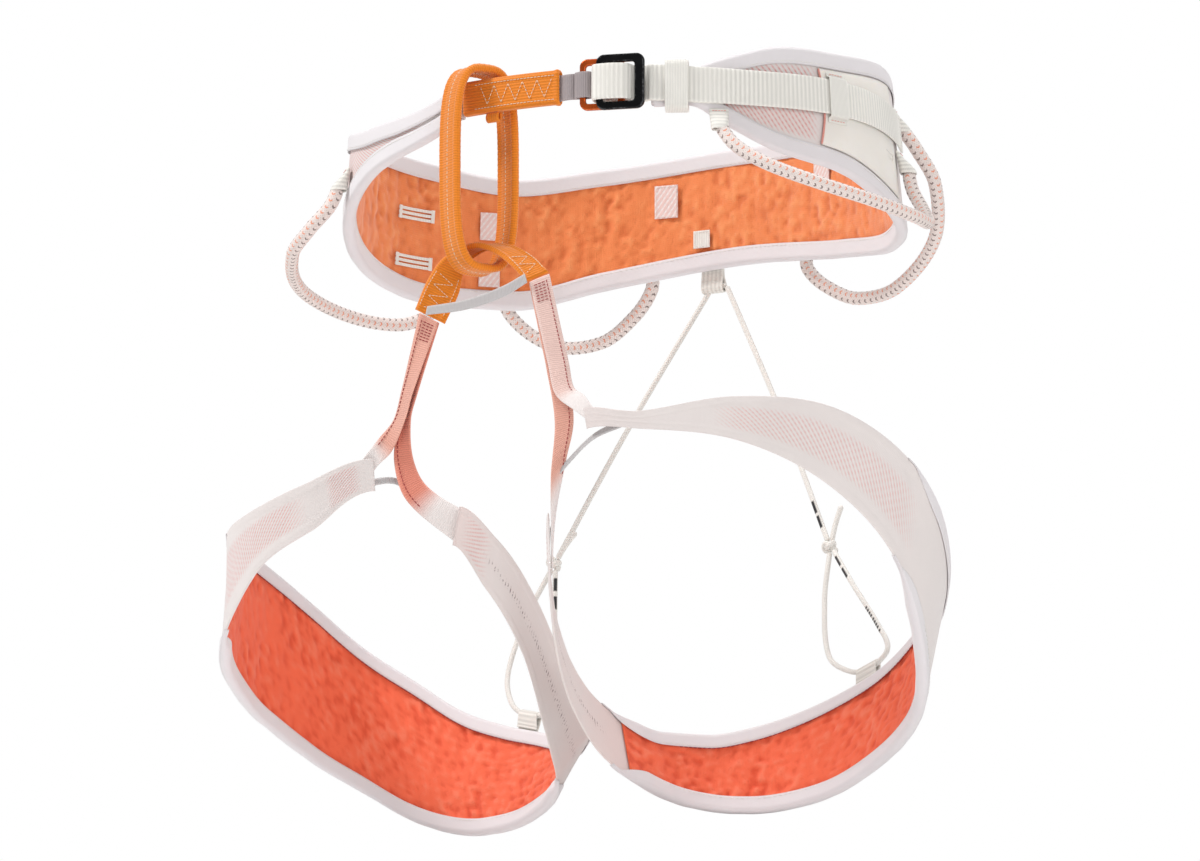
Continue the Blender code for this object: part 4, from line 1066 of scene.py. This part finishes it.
def build_belay():
    yaw = math.radians(BELAY_YAW)
    reach = np.array((-math.sin(yaw), -math.cos(yaw), 0.0))
    side = np.array((math.cos(yaw), -math.sin(yaw), 0.0))
    turn = np.linspace(0.0, 2 * math.pi, 721)
    c, t = np.cos(turn), np.sin(turn)
    half = 0.5 * (BELAY_TOP - BELAY_BOTTOM - BELAY_T)
    oval = np.stack([BELAY_R * squared(c, BELAY_OVAL),
                     0.5 * (BELAY_TOP + BELAY_BOTTOM) + half * squared(t, BELAY_OVAL)], 1)
    path = even(oval, count=261)[:-1]
    vs = spread(BELAY_W, 0.75, 0.4)
    centre = np.array((*BELAY, 0.0)) + reach * path[:, :1] + UP * path[:, 1:2]
    mid = centre[:, None, :] + side * vs[None, :, None]
    far = np.abs(vs) / (0.5 * BELAY_W)
    ridge = 0.55 * np.exp(-((far - 0.8) / 0.13) ** 2) - 0.25 * np.exp(-((far - 0.52) / 0.12) ** 2)
    ribs = 0.08 * np.sin(2 * math.pi * np.arange(len(path)) / 3.0)
    face = ridge[None, :] + ribs[:, None] * (far[None, :] < 0.95)
    slab("belay_loop_webbing", mid, 3.1, "orange", "belay", ["belay_loop"],
         closed_u=True, front=face, back=face, rim=0.25)
    n = normals(mid, True, False)
    m = len(vs) // 2
    runs = []
    for way in (1.0, -1.0):
        line = mid[:, m] + n[:, m] * way * 1.62
        runs.append((np.concatenate([line, line[:1]]), np.concatenate([n[:, m], n[:1, m]]) * way))
    stitches("belay_loop_stitching", runs, "thread_pale", "belay", pitch=2.3, length=1.6, radius=0.22)


def ribbon(rows, count, width_stations):
    flat = [np.concatenate([np.asarray(c, float), unit(np.asarray(w, float)) * h]) for c, w, h in rows]
    line = flowing(np.array(flat), count=count)
    return line[:, None, :3] + line[:, None, 3:] * width_stations[None, :, None]


def build_tie_in():
    rows = [((-38.4, -109.5, -100.2), (0.83, 0.28, -0.48), 8.6),
            ((-31.0, -109.0, -86.0), (0.8, 0.4, -0.45), 8.6),
            ((-23.5, -109.5, -74.5), (0.55, 0.75, -0.35), 6.2),
            ((-9.0, -110.0, -68.5), (0.0, 1.0, 0.0), 5.4),
            ((5.5, -109.5, -71.5), (0.4, 0.85, 0.3), 5.8),
            ((17.0, -108.8, -79.5), (0.5, 0.8, 0.4), 6.6),
            ((24.4, -108.5, -87.5), (0.62, 0.66, 0.42), 6.6)]
    vs = squared(np.linspace(-1.0, 1.0, 25), 0.85)
    mid = ribbon(rows, 110, vs)
    far = np.abs(vs)
    ridge = 0.45 * np.exp(-((far - 0.8) / 0.12) ** 2) - 0.2 * np.exp(-((far - 0.5) / 0.15) ** 2)
    ribs = 0.07 * np.sin(2 * math.pi * np.arange(110) / 2.6)
    face = ridge[None, :] + ribs[:, None] * (far[None, :] < 0.9)
    slab("lower_tie_in_webbing", mid, 2.4, "orange", "waist", ["lower_tie_in"],
         front=face, back=face, rim=0.3)
    n = normals(mid, False, False)
    runs = []
    for way in (1.0, -1.0):
        for first, last in ((4, 30), (88, 106)):
            for edge in (3, 21):
                line = mid[first:last, edge] + n[first:last, edge] * way * 1.75
                runs.append((line, n[first:last, edge] * way))
            corners = list(range(first, last, 4))
            for k in range(len(corners) - 1):
                a, b = corners[k], corners[k + 1]
                c0, c1 = (6, 18) if k % 2 == 0 else (18, 6)
                t = np.linspace(0, 1, 8)[:, None]
                p0 = mid[a, c0] + n[a, c0] * way * 1.4
                p1 = mid[b, c1] + n[b, c1] * way * 1.4
                runs.append((p0 * (1 - t) + p1 * t, np.repeat((n[a, 12] * way)[None], 8, 0)))
    stitches("lower_tie_in_stitching", runs, "thread_pale", "waist", pitch=1.8, length=1.35, radius=0.18)
    bridge = [((-36.5, -115.6, -98.5), (0.2, 0.0, 0.9), 2.2),
              ((-12.0, -116.8, -98.5), (0.1, 0.0, 1.0), 2.6),
              ((10.0, -117.0, -94.5), (-0.1, 0.0, 1.0), 2.8),
              ((22.5, -115.6, -89.0), (-0.3, 0.0, 0.9), 2.4)]
    mid = ribbon(bridge, 70, np.linspace(-1, 1, 9))
    ribs = 0.08 * np.sin(np.arange(70) * 2 * math.pi / 3.0)
    slab("leg_bridge_elastic_band", mid, 0.8, "elastic_grey", "waist", ["leg_bridge_elastic"],
         front=ribs[:, None])


# Gear loops --------------------------------------------------------------------------------------

# Each loop's run round the belt: bearing, how far out from the belt's middle, height.
GEAR_LOOPS = {
    "front_left": [
        (47.0, 9.8, -16.5), (50.0, 14.0, -27.0), (56.0, 19.0, -37.0), (66.0, 24.0, -46.0),
        (78.0, 26.0, -52.0), (90.0, 26.0, -55.0), (99.0, 22.0, -53.0), (104.5, 16.0, -43.0),
        (106.5, 11.0, -32.0), (106.5, 9.8, -22.0)],
    "rear_left": [
        (124.0, 9.8, 7.5), (123.0, 15.0, -2.0), (125.0, 24.0, -19.0), (134.0, 28.0, -42.0),
        (147.0, 25.0, -60.0), (156.0, 20.0, -62.0), (162.0, 14.0, -54.0), (165.5, 10.5, -44.0),
        (165.5, 9.8, -35.0)],
    "front_right": [
        (305.0, 9.8, -17.0), (305.0, 14.0, -27.0), (302.0, 22.0, -37.0), (295.0, 29.0, -46.0),
        (280.0, 31.0, -55.0), (266.0, 25.0, -62.0), (254.0, 16.0, -64.0), (247.0, 11.5, -56.0),
        (245.0, 9.8, -44.0)],
    "rear_right": [
        (233.0, 9.8, -4.0), (232.5, 14.5, -14.0), (232.0, 21.0, -32.0), (229.0, 25.0, -53.0),
        (221.0, 25.0, -68.0), (212.0, 22.0, -68.0), (205.0, 16.0, -57.0), (201.0, 11.5, -45.0),
        (200.5, 9.8, -35.0)],
}


def braid(run, angle):
    a = np.sin(3 * angle + run * 2.1)
    b = np.sin(-3 * angle + run * 2.1)
    return 0.10 * np.maximum(a, b)


def build_gear():
    for name, rows in GEAR_LOOPS.items():
        path = flowing(np.array([waist(phi, z, offset) for phi, offset, z in rows]), 0.55)
        tube(f"gear_cord_{name}", path, CORD_R, "cord", f"gear_{name}", [f"gear_loop_{name}"], segments=24,
             relief=braid)
        for word, (phi, _, z) in (("front", rows[0]), ("rear", rows[-1])):
            build_gear_tab(f"{name}_{word}", phi, z)


def build_gear_tab(name, phi, z):
    """Webbing sewn flat on the belt that opens into a short sleeve round the cord's end."""
    t = np.linspace(0.0, 1.0, 22)
    ease = eased(t)
    height = z + 9.6 - 11.4 * t
    offset = 5.9 + 3.9 * ease
    half_w = 4.6 - 0.55 * ease
    half_n = 0.75 + 3.25 * ease
    angle = np.linspace(0.0, 2 * math.pi, 33)[:-1]
    along = waist_normal(np.float64(phi))
    tangent = np.array((-along[1], along[0], 0.0))
    base = waist(phi, height, offset)
    mid = base[:, None] + tangent * (half_w[:, None] * squared(np.cos(angle), 0.75))[..., None]
    mid = mid + along * (half_n[:, None] * squared(np.sin(angle), 0.9))[..., None]
    ribs = 0.10 * np.sin(2 * math.pi * t * 9)
    slab(f"gear_sleeve_{name}", mid, 0.6, "white", "waist", [f"gear_tab_{name}"], closed_v=True, flip=True,
         back=ribs[:, None])
    runs = []
    for rise in (8.4, 6.8):
        w = np.linspace(-3.6, 3.6, 8)
        line = waist(phi, z + rise, 7.1 + 0.25 * (8.4 - rise)) + tangent * w[:, None]
        runs.append((line, np.repeat(along[None], 8, 0)))
    stitches(f"gear_sleeve_{name}_stitching", runs, "thread_pink", "waist",
             pitch=1.5, length=1.15, lift=0.15)


# Leg loops ---------------------------------------------------------------------------------------

# Where a leg's shell carries its hatched fields (angles, heights, margins, strength), its stippled seam
# (angles, width) and its warmer stretches (angles, margin, strength).
LEG_MARKS = {
    "left": {
        "fields": ((22.0, 96.0, 0.22, 0.78, 9.0, 0.07, 0.6), (296.0, 308.0, 0.1, 0.9, 3.0, 0.05, 0.48)),
        "seam": (262.0, 306.0, 0.05),
        "warm": ((240.0, 275.0, 20.0, 0.35), (-50.0, 6.0, 25.0, 0.12)),
    },
    "right": {
        "fields": ((0.0, 62.0, 0.2, 0.8, 9.0, 0.07, 0.9), (-21.0, -8.0, 0.1, 0.9, 3.0, 0.05, 0.9),
                   (301.0, 309.0, 0.1, 0.9, 3.0, 0.05, 0.72)),
        "seam": (236.0, 303.0, 0.045),
        "warm": ((222.0, 262.0, 20.0, 0.4), (298.0, 340.0, 13.0, 0.3)),
    },
}


def build_leg_shell(side):
    thetas = np.linspace(LEG_START, LEG_END, 420)
    u, v = grid(thetas, np.concatenate([[0.0, 0.012], np.linspace(0.03, 0.97, 24), [0.988, 1.0]]))
    mid = leg_point(side, u, v, 0.5)
    run = lengths(mid, 0, False)[:, None]
    width = leg_width(side, thetas)[:, None]
    wide = width * v
    calm = 1.0 - 0.5 * box_mask(u, v, *LEG_LINED[side], -1.0, 2.0, 10.0, 0.1)
    wrinkle = (0.22 * relief_noise(run, wide, 16.0, 61) + 0.12 * relief_noise(run, wide, 6.0, 62)) * calm
    hem = 0.28 * np.exp(-((np.minimum(wide, wide[:, -1:] - wide) - 3.2) / 0.5) ** 2)
    hem = np.where(width < 18.0, 0.4 * hem, hem)
    spots = LEG_MARKS[side]
    field = np.max([k * box_mask(u, v, *box) for *box, k in spots["fields"]], axis=0)
    first, last, seam_width = spots["seam"]
    seam = np.exp(-((v - 0.5) / seam_width) ** 2) * band(u, first, last, 4.0)
    warm = np.max([k * band(u, low, high, soft) for low, high, soft, k in spots["warm"]], axis=0)
    slab(f"leg_{side}_shell", mid, 1.0, "shell", f"leg_{side}", [f"leg_{side}_outer_fabric"],
         flip=side == "right", front=wrinkle + hem, back=-wrinkle * 0.8 + hem,
         marks={"field": field, "seam": seam, "warm": warm})


def build_leg_lining(side):
    first, last = LEG_LINED[side]
    first, last = first + 0.5, last - 0.5
    flip = side == "right"
    u, v = grid(np.linspace(first, last, 72), np.linspace(0.03, 0.97, 15))
    rise = puff(leg_point(side, u, v, -1.9), 2.6, 2.0, flip)
    thetas = np.linspace(first, last, 240)
    vs = np.linspace(0.03, 0.97, 46)
    u, v = grid(thetas, vs)
    full = np.clip(np.minimum(u - first, last - u) / 10.0, 0.0, 1.0)
    full = eased(full)
    mid = leg_point(side, u, v, -0.75 - 0.95 * full)
    run = lengths(mid, 0, False)[:, None]
    wide = leg_width(side, thetas)[:, None] * v
    texture = pebbles(run, wide, 71, 0.35)
    ripple = np.sin(2 * math.pi * (wide + 1.6 * relief_noise(run, wide, 8.0, 73)) / 4.6)
    share = (u - first if side == "right" else last - u) / (last - first)
    texture = 0.95 * texture + 0.5 * ripple * share * (0.6 + 0.4 * relief_noise(run, wide, 6.0, 74))
    inward = resized(rise, len(thetas), len(vs)) + 0.85 * texture + 0.3 * relief_noise(run, wide, 26.0, 75)
    inward = inward * full
    # Masks for painted shade in the hollows of the foam's relief and a painted highlight on its raised tops.
    hollow_shade = np.clip(-1.9 * texture - 0.3, 0, 1)
    slab(f"leg_{side}_pad", mid, 0.8 + 1.4 * full, "leg_lining", f"leg_{side}", [f"leg_{side}_lining"],
         flip=flip, back=inward, marks={"hollow_shade": hollow_shade, "crown_highlight": np.clip(1.9 * texture - 0.3, 0, 1)})


def build_leg_binding(side, upper):
    word = "upper" if upper else "lower"
    first, last = LEG_LINED[side]
    thetas = np.linspace(first - 7.0, last + 7.0, 220)
    width = leg_width(side, thetas)
    profile, slim = fold_profile(-4.2, 1.55, 7.0, 0.8), fold_profile(-0.55, 1.5, 7.0, 0.5)
    full = np.clip((np.minimum(thetas - thetas[0], thetas[-1] - thetas) - 3.5) / 11.0, 0.0, 1.0)
    full = eased(full)[:, None]
    rise = slim[None, :, 1] + (profile[None, :, 1] - slim[None, :, 1]) * full
    rise = rise * (0.08 + 0.92 * full ** 0.5)
    v = rise / width[:, None]
    v = 1.0 + v if upper else -v
    offset = slim[None, :, 0] + (profile[None, :, 0] - slim[None, :, 0]) * full
    mid = leg_point(side, thetas[:, None], v, offset)
    wave = 0.12 * relief_noise(thetas[:, None] * 1.7, profile[None, :, 1], 7.0, 81 + upper)
    slab(f"leg_{side}_tape_{word}", mid, 0.6, "binding", f"leg_{side}", [f"leg_{side}_binding_{word}"],
         flip=side == "right", front=wave)
    inset = thetas[26:-26]
    reach = leg_width(side, inset)

    def sewn(depth, offset):
        share = depth / reach
        return leg_point(side, inset, 1.0 - share if upper else share, offset)

    out = unit(sewn(6.0, 1.0) - sewn(6.0, 0.0))
    runs = [(sewn(5.8, 1.9), out), (sewn(5.8, -4.55), -out)]
    stitches(f"leg_{side}_tape_{word}_stitching", runs, "thread_white", f"leg_{side}", radius=0.17)
    if upper:
        stitches(f"leg_{side}_seam", [(sewn(7.3, -4.3)[8:-8], -out[8:-8])], "thread_red", f"leg_{side}",
                 pitch=2.4, length=2.0, radius=0.24)


CROSS = {"left": 16.0, "right": 4.0}
# Each strap's key places and the way its width runs there.
LEG_STRAPS = {
    "left": {
        "top": ((25.8, -108.5, -89.0), (0.62, 0.66, 0.42)),
        "split": ((40.0, -113.0, -134.0), (0.84, 0.5, 0.1)),
        "outer": ((46.5, -117.5, -149.0), (0.71, 0.56, 0.39)),
        "inner": ((46.0, -117.0, -164.0), (0.84, 0.45, 0.2)),
        "low": ((42.0, -116.0, -188.0), (0.6, 0.1, 0.7)),
    },
    "right": {
        "top": ((-39.0, -109.5, -101.4), (-0.83, -0.28, 0.48)),
        "split": ((-52.0, -114.5, -152.0), (-0.9, 0.35, 0.1)),
        "outer": ((-58.0, -119.5, -164.5), (-0.65, -0.1, 0.7)),
        "inner": ((-51.0, -114.0, -172.0), (-0.80, -0.50, -0.15)),
        "low": ((-44.0, -112.0, -190.0), (-0.55, -0.5, -0.6)),
    },
}
LEG_STRAP_LOOKS = {("left", "outer"): "blush", ("left", "inner"): "salmon", ("right", "outer"): "salmon",
                   ("right", "inner"): "salmon_deep"}


def fold_normal(across, run):
    out = np.cross(across, run)
    return unit(-out if out[1] > 0 else out)


def build_leg_straps(side):
    sign = 1.0 if side == "left" else -1.0
    keys = {k: (np.array(at), unit(np.array(w))) for k, (at, w) in LEG_STRAPS[side].items()}
    top, top_across = keys["top"]
    split, split_across = keys["split"]
    top = top + 0.6 * unit(top - split)
    front = fold_normal(split_across, split - top)
    top_front = fold_normal(top_across, split - top)
    ends = {}
    for word, theta, step in (("outer", LEG_START, 1.0), ("inner", LEG_END, -1.0)):
        low, high = leg_point(side, theta, 0.0, -0.8), leg_point(side, theta, 1.0, -0.8)
        inside = leg_point(side, theta + 4.0 * step, 0.5, -0.8)
        rise = low - high if (side, word) == ("right", "inner") else high - low
        ends[word] = (inside, rise, 0.5 * float(np.linalg.norm(high - low)) * 0.9)
    bend = top + (split - top) * 0.75
    outer, across = keys["outer"]
    rows = {"outer": [(top + top_front * 0.9, top_across, 5.6), (bend + front * 1.1, split_across, 5.2),
                      (split + front * 1.2, split_across, 5.2), (outer, across, 5.0),
                      (0.5 * (outer + ends["outer"][0]) + front * 1.0, across + unit(ends["outer"][1]), 4.6),
                      ends["outer"]]}
    inner, across = keys["inner"]
    low, low_across = keys["low"]
    rows["inner"] = [(top - top_front * 0.9, top_across, 5.6),
                     (bend - front * 1.1 - split_across * 1.1, split_across, 5.0),
                     (split - front * 1.3 - split_across * 1.5, split_across, 4.8),
                     (inner, across, 4.8), (low, low_across, 6.4), ends["inner"]]
    vs = np.linspace(-1.0, 1.0, 15)
    for word, table in rows.items():
        mid = ribbon(table, 120, vs)
        n = normals(mid, False, False)
        # the strap is folded lengthwise: it cups a little and carries a raised seam near one edge
        cup = 0.5 * (1.0 - vs**2)
        mid = mid + n * (cup[None, :] * 0.6)[..., None]
        ribs = 0.07 * np.sin(np.arange(120) * 2 * math.pi / 3.0)
        seam = 0.35 * np.exp(-((vs - 0.62) / 0.16) ** 2)
        turn = np.linalg.norm(mid[:, 7] - (outer if word == "outer" else low), axis=1).argmin()
        fade = np.clip((np.arange(120) - turn + 2.0) / 14.0, 0, 1)
        fade = eased(fade)
        relief = ribs[:, None] + seam[None, :] * (1.0 - fade[:, None])
        slab(f"leg_{side}_strap_{word}_web", mid, 0.8, LEG_STRAP_LOOKS[side, word], f"leg_{side}",
             [f"leg_{side}_strap_{word}"], front=relief, back=relief, marks={"fade": fade[:, None]})
        last = min(turn + 6, 112)
        runs = []
        for way in (1.0, -1.0):
            line = mid[3:last, 11] + n[3:last, 11] * way * 0.82
            runs.append((line, n[3:last, 11] * way))
            for k in range(4, 17, 2):
                runs.append((mid[k, 2:11] + n[k, 2:11] * way * 0.55, n[k, 2:11] * way))
        stitches(f"leg_{side}_strap_{word}_seam", runs, "thread_red", f"leg_{side}", pitch=2.2, length=1.7,
                 radius=0.24)
    start = leg_point(side, LEG_START + CROSS[side], 0.25, -1.8)
    stop = low + np.array((0.4 * sign, 0.8, -0.5))
    middle = 0.5 * (start + stop) + np.array((-1.0 * sign, 1.5, 4.6))
    mid = ribbon([(start, (0, 0, 1.0), 2.0), (middle, (0, 0.2, 1.0), 1.7), (stop, (0, 0, 1.0), 1.7)], 60,
                 np.linspace(-1, 1, 7))
    ribs = 0.07 * np.sin(np.arange(60) * 2 * math.pi / 3.0)
    slab(f"leg_{side}_cross_band", mid, 0.8, "elastic_grey", f"leg_{side}", [f"leg_{side}_cross_elastic"],
         front=ribs[:, None])


# Risers --------------------------------------------------------------------------------------------

KNOTS = {"left": (66.0, 96.0, -193.0), "right": (-96.0, 92.0, -184.0)}


def knot_path(centre, axis, size):
    """The tight three-lobed line of an overhand knot."""
    t = np.linspace(0.0, 2 * math.pi, 73)[:-1]
    lobes = [np.sin(t) + 2 * np.sin(2 * t), np.cos(t) - 2 * np.cos(2 * t), -1.25 * np.sin(3 * t)]
    local = np.stack(lobes, 1) * size
    axis = unit(axis)
    a = unit(np.cross(axis, (0.31, 0.9, 0.2)))
    b = np.cross(axis, a)
    return centre + local[:, :1] * a + local[:, 1:2] * b + local[:, 2:] * axis


def build_riser(side):
    sign = 1.0 if side == "left" else -1.0
    body = f"leg_{side}"
    theta = 175.0 if side == "left" else 187.0
    base = leg_point(side, theta, 1.0, 3.1)
    along = unit(leg_point(side, theta + 2.0, 1.0, 3.1) - leg_point(side, theta - 2.0, 1.0, 3.1))
    up = unit(leg_point(side, theta, 1.0, 3.1) - leg_point(side, theta, 0.0, 3.1))
    out = unit(leg_point(side, theta, 1.0, 4.1) - base)
    tie = base + up * 10.4
    knot = np.array(KNOTS[side])
    start = np.array((4.5 * sign - 11.0, 113.5, -47.5))
    fold = flowing([(0.3, -8.0, 0), (0.4, 2.0, 0), (1.9, 8.4, 0), (2.1, 10.6, 0), (1.4, 12.3, 0),
                    (0.0, 12.9, 0), (-1.4, 12.3, 0), (-2.1, 10.6, 0), (-1.4, 7.6, 0), (-0.7, 4.8, 0),
                    (-0.75, 3.4, 0)], 0.5)
    ss = spread(14.0, 0.7, 0.3)
    taper = 1.0 - 0.14 * np.clip(fold[:, 1] / 12.0, 0, 1)
    mid = base + out * fold[:, None, :1] + up * fold[:, None, 1:2]
    mid = mid + along * (taper[:, None] * ss[None, :])[..., None]
    ribs = 0.13 * np.sin(2 * math.pi * np.arange(len(fold)) * 0.5 / 1.7)
    slab(f"leg_{side}_riser_tab", mid, 0.8, "white", body, [f"leg_{side}_rear_tab"],
         front=ribs[:, None], back=ribs[:, None])
    aim = unit(knot - start)
    cord = flowing([start, start + (knot - start) * 0.5 + (2.0 * sign, 0.0, 0.0), knot - aim * 3.2], 0.8)
    total = 0.8 * len(cord)
    inked = [(total - 16.0, total - 9.0), (total - 25.0, total - 18.0)] if side == "left" else []
    tube(f"riser_line_{side}", cord, RISER_R * 0.9, "riser", None, [f"riser_cord_{side}"], segments=12,
         joined=(("waist", body), place(start), place(knot - aim * 5.4)), dash=inked)
    down = unit(tie - knot)
    lateral = along * sign
    lerp = lambda k: knot + (tie - knot) * k
    rise = np.array((0.0, 0.0, 4.5))
    loop = [knot + down * 3.4 + lateral * 1.2, lerp(0.35) + lateral * 12.0, lerp(0.75) + lateral * 19.0,
            tie + lateral * 12.0 + rise, tie, tie - lateral * 12.0 + rise,
            lerp(0.75) - lateral * 13.0, lerp(0.35) - lateral * 6.0, knot + down * 3.4 - lateral * 1.2]
    path = flowing(loop, 0.8)
    total = 0.8 * len(path)
    marks = [(total - 15.0, total - 7.0), (total - 25.5, total - 17.5)]
    if side == "left":
        marks += [(total - 54.0 - 2.6 * k, total - 52.3 - 2.6 * k) for k in range(9)]
    tube(f"riser_bight_{side}", path, RISER_R * 0.9, "riser", body, [f"riser_loop_{side}"], segments=12,
         dash=marks, dash_turn=0.5 * math.pi)
    tied = knot_path(knot, down + lateral * 0.5, 1.12)
    tube(f"riser_knot_tied_{side}", tied, RISER_R * 0.92, "riser", body, [f"riser_knot_{side}"],
         segments=12, closed=True)
    lift = unit(np.array((0.25, 0.1, 0.95) if side == "left" else (0.75, -0.25, 0.6)))
    spare = [knot + lift * 3.0, knot + lift * 12.0 + lateral * 0.8, knot + lift * 22.0 + lateral * 0.2]
    tail = flowing(spare, 0.8)
    fray = 1.0 + 0.15 * np.clip((np.arange(len(tail)) - len(tail) + 5) / 4.0, 0, 1)
    tube(f"riser_tail_end_{side}", tail, RISER_R * 0.9 * fray, "riser", body, [f"riser_tail_{side}"],
         segments=12)


def build_waist_riser():
    profile = flowing([(5.6, -30.5, 0), (5.7, -38.0, 0), (5.0, -45.0, 0), (4.6, -47.6, 0), (5.6, -49.8, 0),
                       (7.3, -50.2, 0), (8.9, -49.2, 0), (9.3, -47.2, 0), (8.2, -44.6, 0), (6.9, -42.0, 0),
                       (6.6, -36.0, 0), (6.5, -32.0, 0)], 0.5)
    us = np.linspace(184.6, 189.4, 22)
    mid = waist(us[:, None], profile[None, :, 1], profile[None, :, 0])
    ribs = 0.10 * np.sin(2 * math.pi * np.arange(len(profile)) * 0.5 / 1.7)
    slab("rear_riser_tab_fold", mid, 0.7, "white", "waist", ["rear_riser_tab"],
         front=ribs[None, :])
    ends = [np.array((4.5 * s - 11.0, 113.5, -47.5)) for s in (-1.0, 1.0)]
    joint = flowing([ends[0], 0.5 * (ends[0] + ends[1]) + 0.6 * UP, ends[1]], 0.5)
    tube("riser_through_tab", joint, RISER_R * 0.95, "riser", "waist", segments=12)


build_belt_lining()
build_belt_shell()
build_belt_binding(True)
build_belt_binding(False)
build_belt_ends()
build_tape()
build_patches()
build_hip_panel()
build_sleeve()
build_anchor()
build_buckle_frame("buckle_base", "buckle_base_frame", (-14.5, 8.4), 13.0, (3.0, 3.4),
                   9.7, 6.2, 8.8, "bronze", "waist")
build_buckle_frame("buckle_lock_frame", "buckle_locking_frame", (-5.2, 19.4), 14.0, (3.2, 5.0),
                   9.9, 9.9, 12.6, "black", "buckle_lock")
build_strap()
build_keeper()
build_tunnel()
build_belay()
build_tie_in()
build_gear()
for leg in ("left", "right"):
    build_leg_shell(leg)
    build_leg_lining(leg)
    build_leg_binding(leg, True)
    build_leg_binding(leg, False)
    build_leg_straps(leg)
    build_riser(leg)
build_waist_riser()


# Stage: pale floor, soft studio light, long-lens camera -----------------------------------------

FLOOR_GAP, FLOOR_REACH, FLOOR_GLOW = 0.002, 40.0, 0.55
LAMPS = {   # place from the aim, size, power
    "key": ((-0.9, -1.1, 1.7), 0.6, 34.0),
    "fill": ((1.6, -1.0, 0.3), 1.4, 11.0),
    "top": ((0.5, 0.6, 1.8), 1.0, 16.0),
}
AIM = (-22.1, 20.3, -136.7)   # millimetres, in the design frame
AZIMUTH, ELEVATION, DISTANCE = math.radians(33.0), math.radians(-12.0), 12.0
FILM, VIEW_WIDTH = 36.0, 0.6   # millimetres of film that take in this many metres at the aim


def build_floor(scene):
    """A pale ground just under the harness, clear from below and a little brighter to the camera."""
    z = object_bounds()[0].z - FLOOR_GAP
    r = FLOOR_REACH
    mesh = bpy.data.meshes.new("floor")
    mesh.from_pydata([(-r, -r, z), (r, -r, z), (r, r, z), (-r, r, z)], [], [(0, 1, 2, 3)])
    floor = bpy.data.objects.new("floor", mesh)
    scene.collection.objects.link(floor)
    material = bpy.data.materials.new("pale_floor")
    material.use_nodes = True
    tree = material.node_tree
    surface = tree.nodes["Principled BSDF"]
    surface.inputs["Base Color"].default_value = (0.9, 0.9, 0.895, 1.0)
    surface.inputs["Roughness"].default_value = 0.9
    seen = add_node(tree, "ShaderNodeLightPath").outputs["Is Camera Ray"]
    below = add_node(tree, "ShaderNodeNewGeometry").outputs["Backfacing"]
    share = add_node(tree, "ShaderNodeMath", {0: seen, 1: FLOOR_GLOW}, operation="MULTIPLY")
    glow = add_node(tree, "ShaderNodeEmission", {"Strength": share.outputs[0]})
    lit = add_node(tree, "ShaderNodeAddShader", {0: surface.outputs[0], 1: glow.outputs[0]})
    clear = add_node(tree, "ShaderNodeBsdfTransparent")
    mix = add_node(tree, "ShaderNodeMixShader", {0: below, 1: lit.outputs[0], 2: clear.outputs[0]})
    tree.links.new(mix.outputs[0], tree.nodes["Material Output"].inputs[0])
    mesh.materials.append(material)
    floor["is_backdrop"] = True


def build_sky(scene):
    """A white surround, dimmer as a light than as a backdrop."""
    scene.world = bpy.data.worlds.new("studio")
    scene.world.use_nodes = True
    tree = scene.world.node_tree
    back = tree.nodes["Background"]
    back.inputs["Color"].default_value = (1.0, 1.0, 1.0, 1.0)
    seen = add_node(tree, "ShaderNodeLightPath").outputs["Is Camera Ray"]
    level = add_node(tree, "ShaderNodeMapRange", {"Value": seen, "To Min": 0.42, "To Max": 1.0})
    tree.links.new(level.outputs[0], back.inputs["Strength"])


def put(scene, name, data, aim, way):
    """A lamp or camera standing off from aim by way, and looking back at it."""
    obj = bpy.data.objects.new(name, data)
    obj.location = aim + way
    obj.rotation_mode = "QUATERNION"
    obj.rotation_quaternion = (-way).to_track_quat("-Z", "Y")
    scene.collection.objects.link(obj)
    return obj


def build_stage():
    scene = bpy.context.scene
    build_floor(scene)
    build_sky(scene)
    aim = Vector(place(AIM))
    for name, (where, size, power) in LAMPS.items():
        light = bpy.data.lights.new(name, "AREA")
        light.size = size
        light.energy = power
        put(scene, name, light, aim, Vector(where))
    way = Vector((math.sin(AZIMUTH) * math.cos(ELEVATION), -math.cos(AZIMUTH) * math.cos(ELEVATION),
                  math.sin(ELEVATION)))
    lens = bpy.data.cameras.new("camera")
    lens.sensor_width = FILM
    lens.lens = FILM * DISTANCE / VIEW_WIDTH
    lens.clip_start = 0.05
    scene.camera = put(scene, "camera", lens, aim, way * DISTANCE)
    scene.view_settings.view_transform = "Standard"


build_stage()
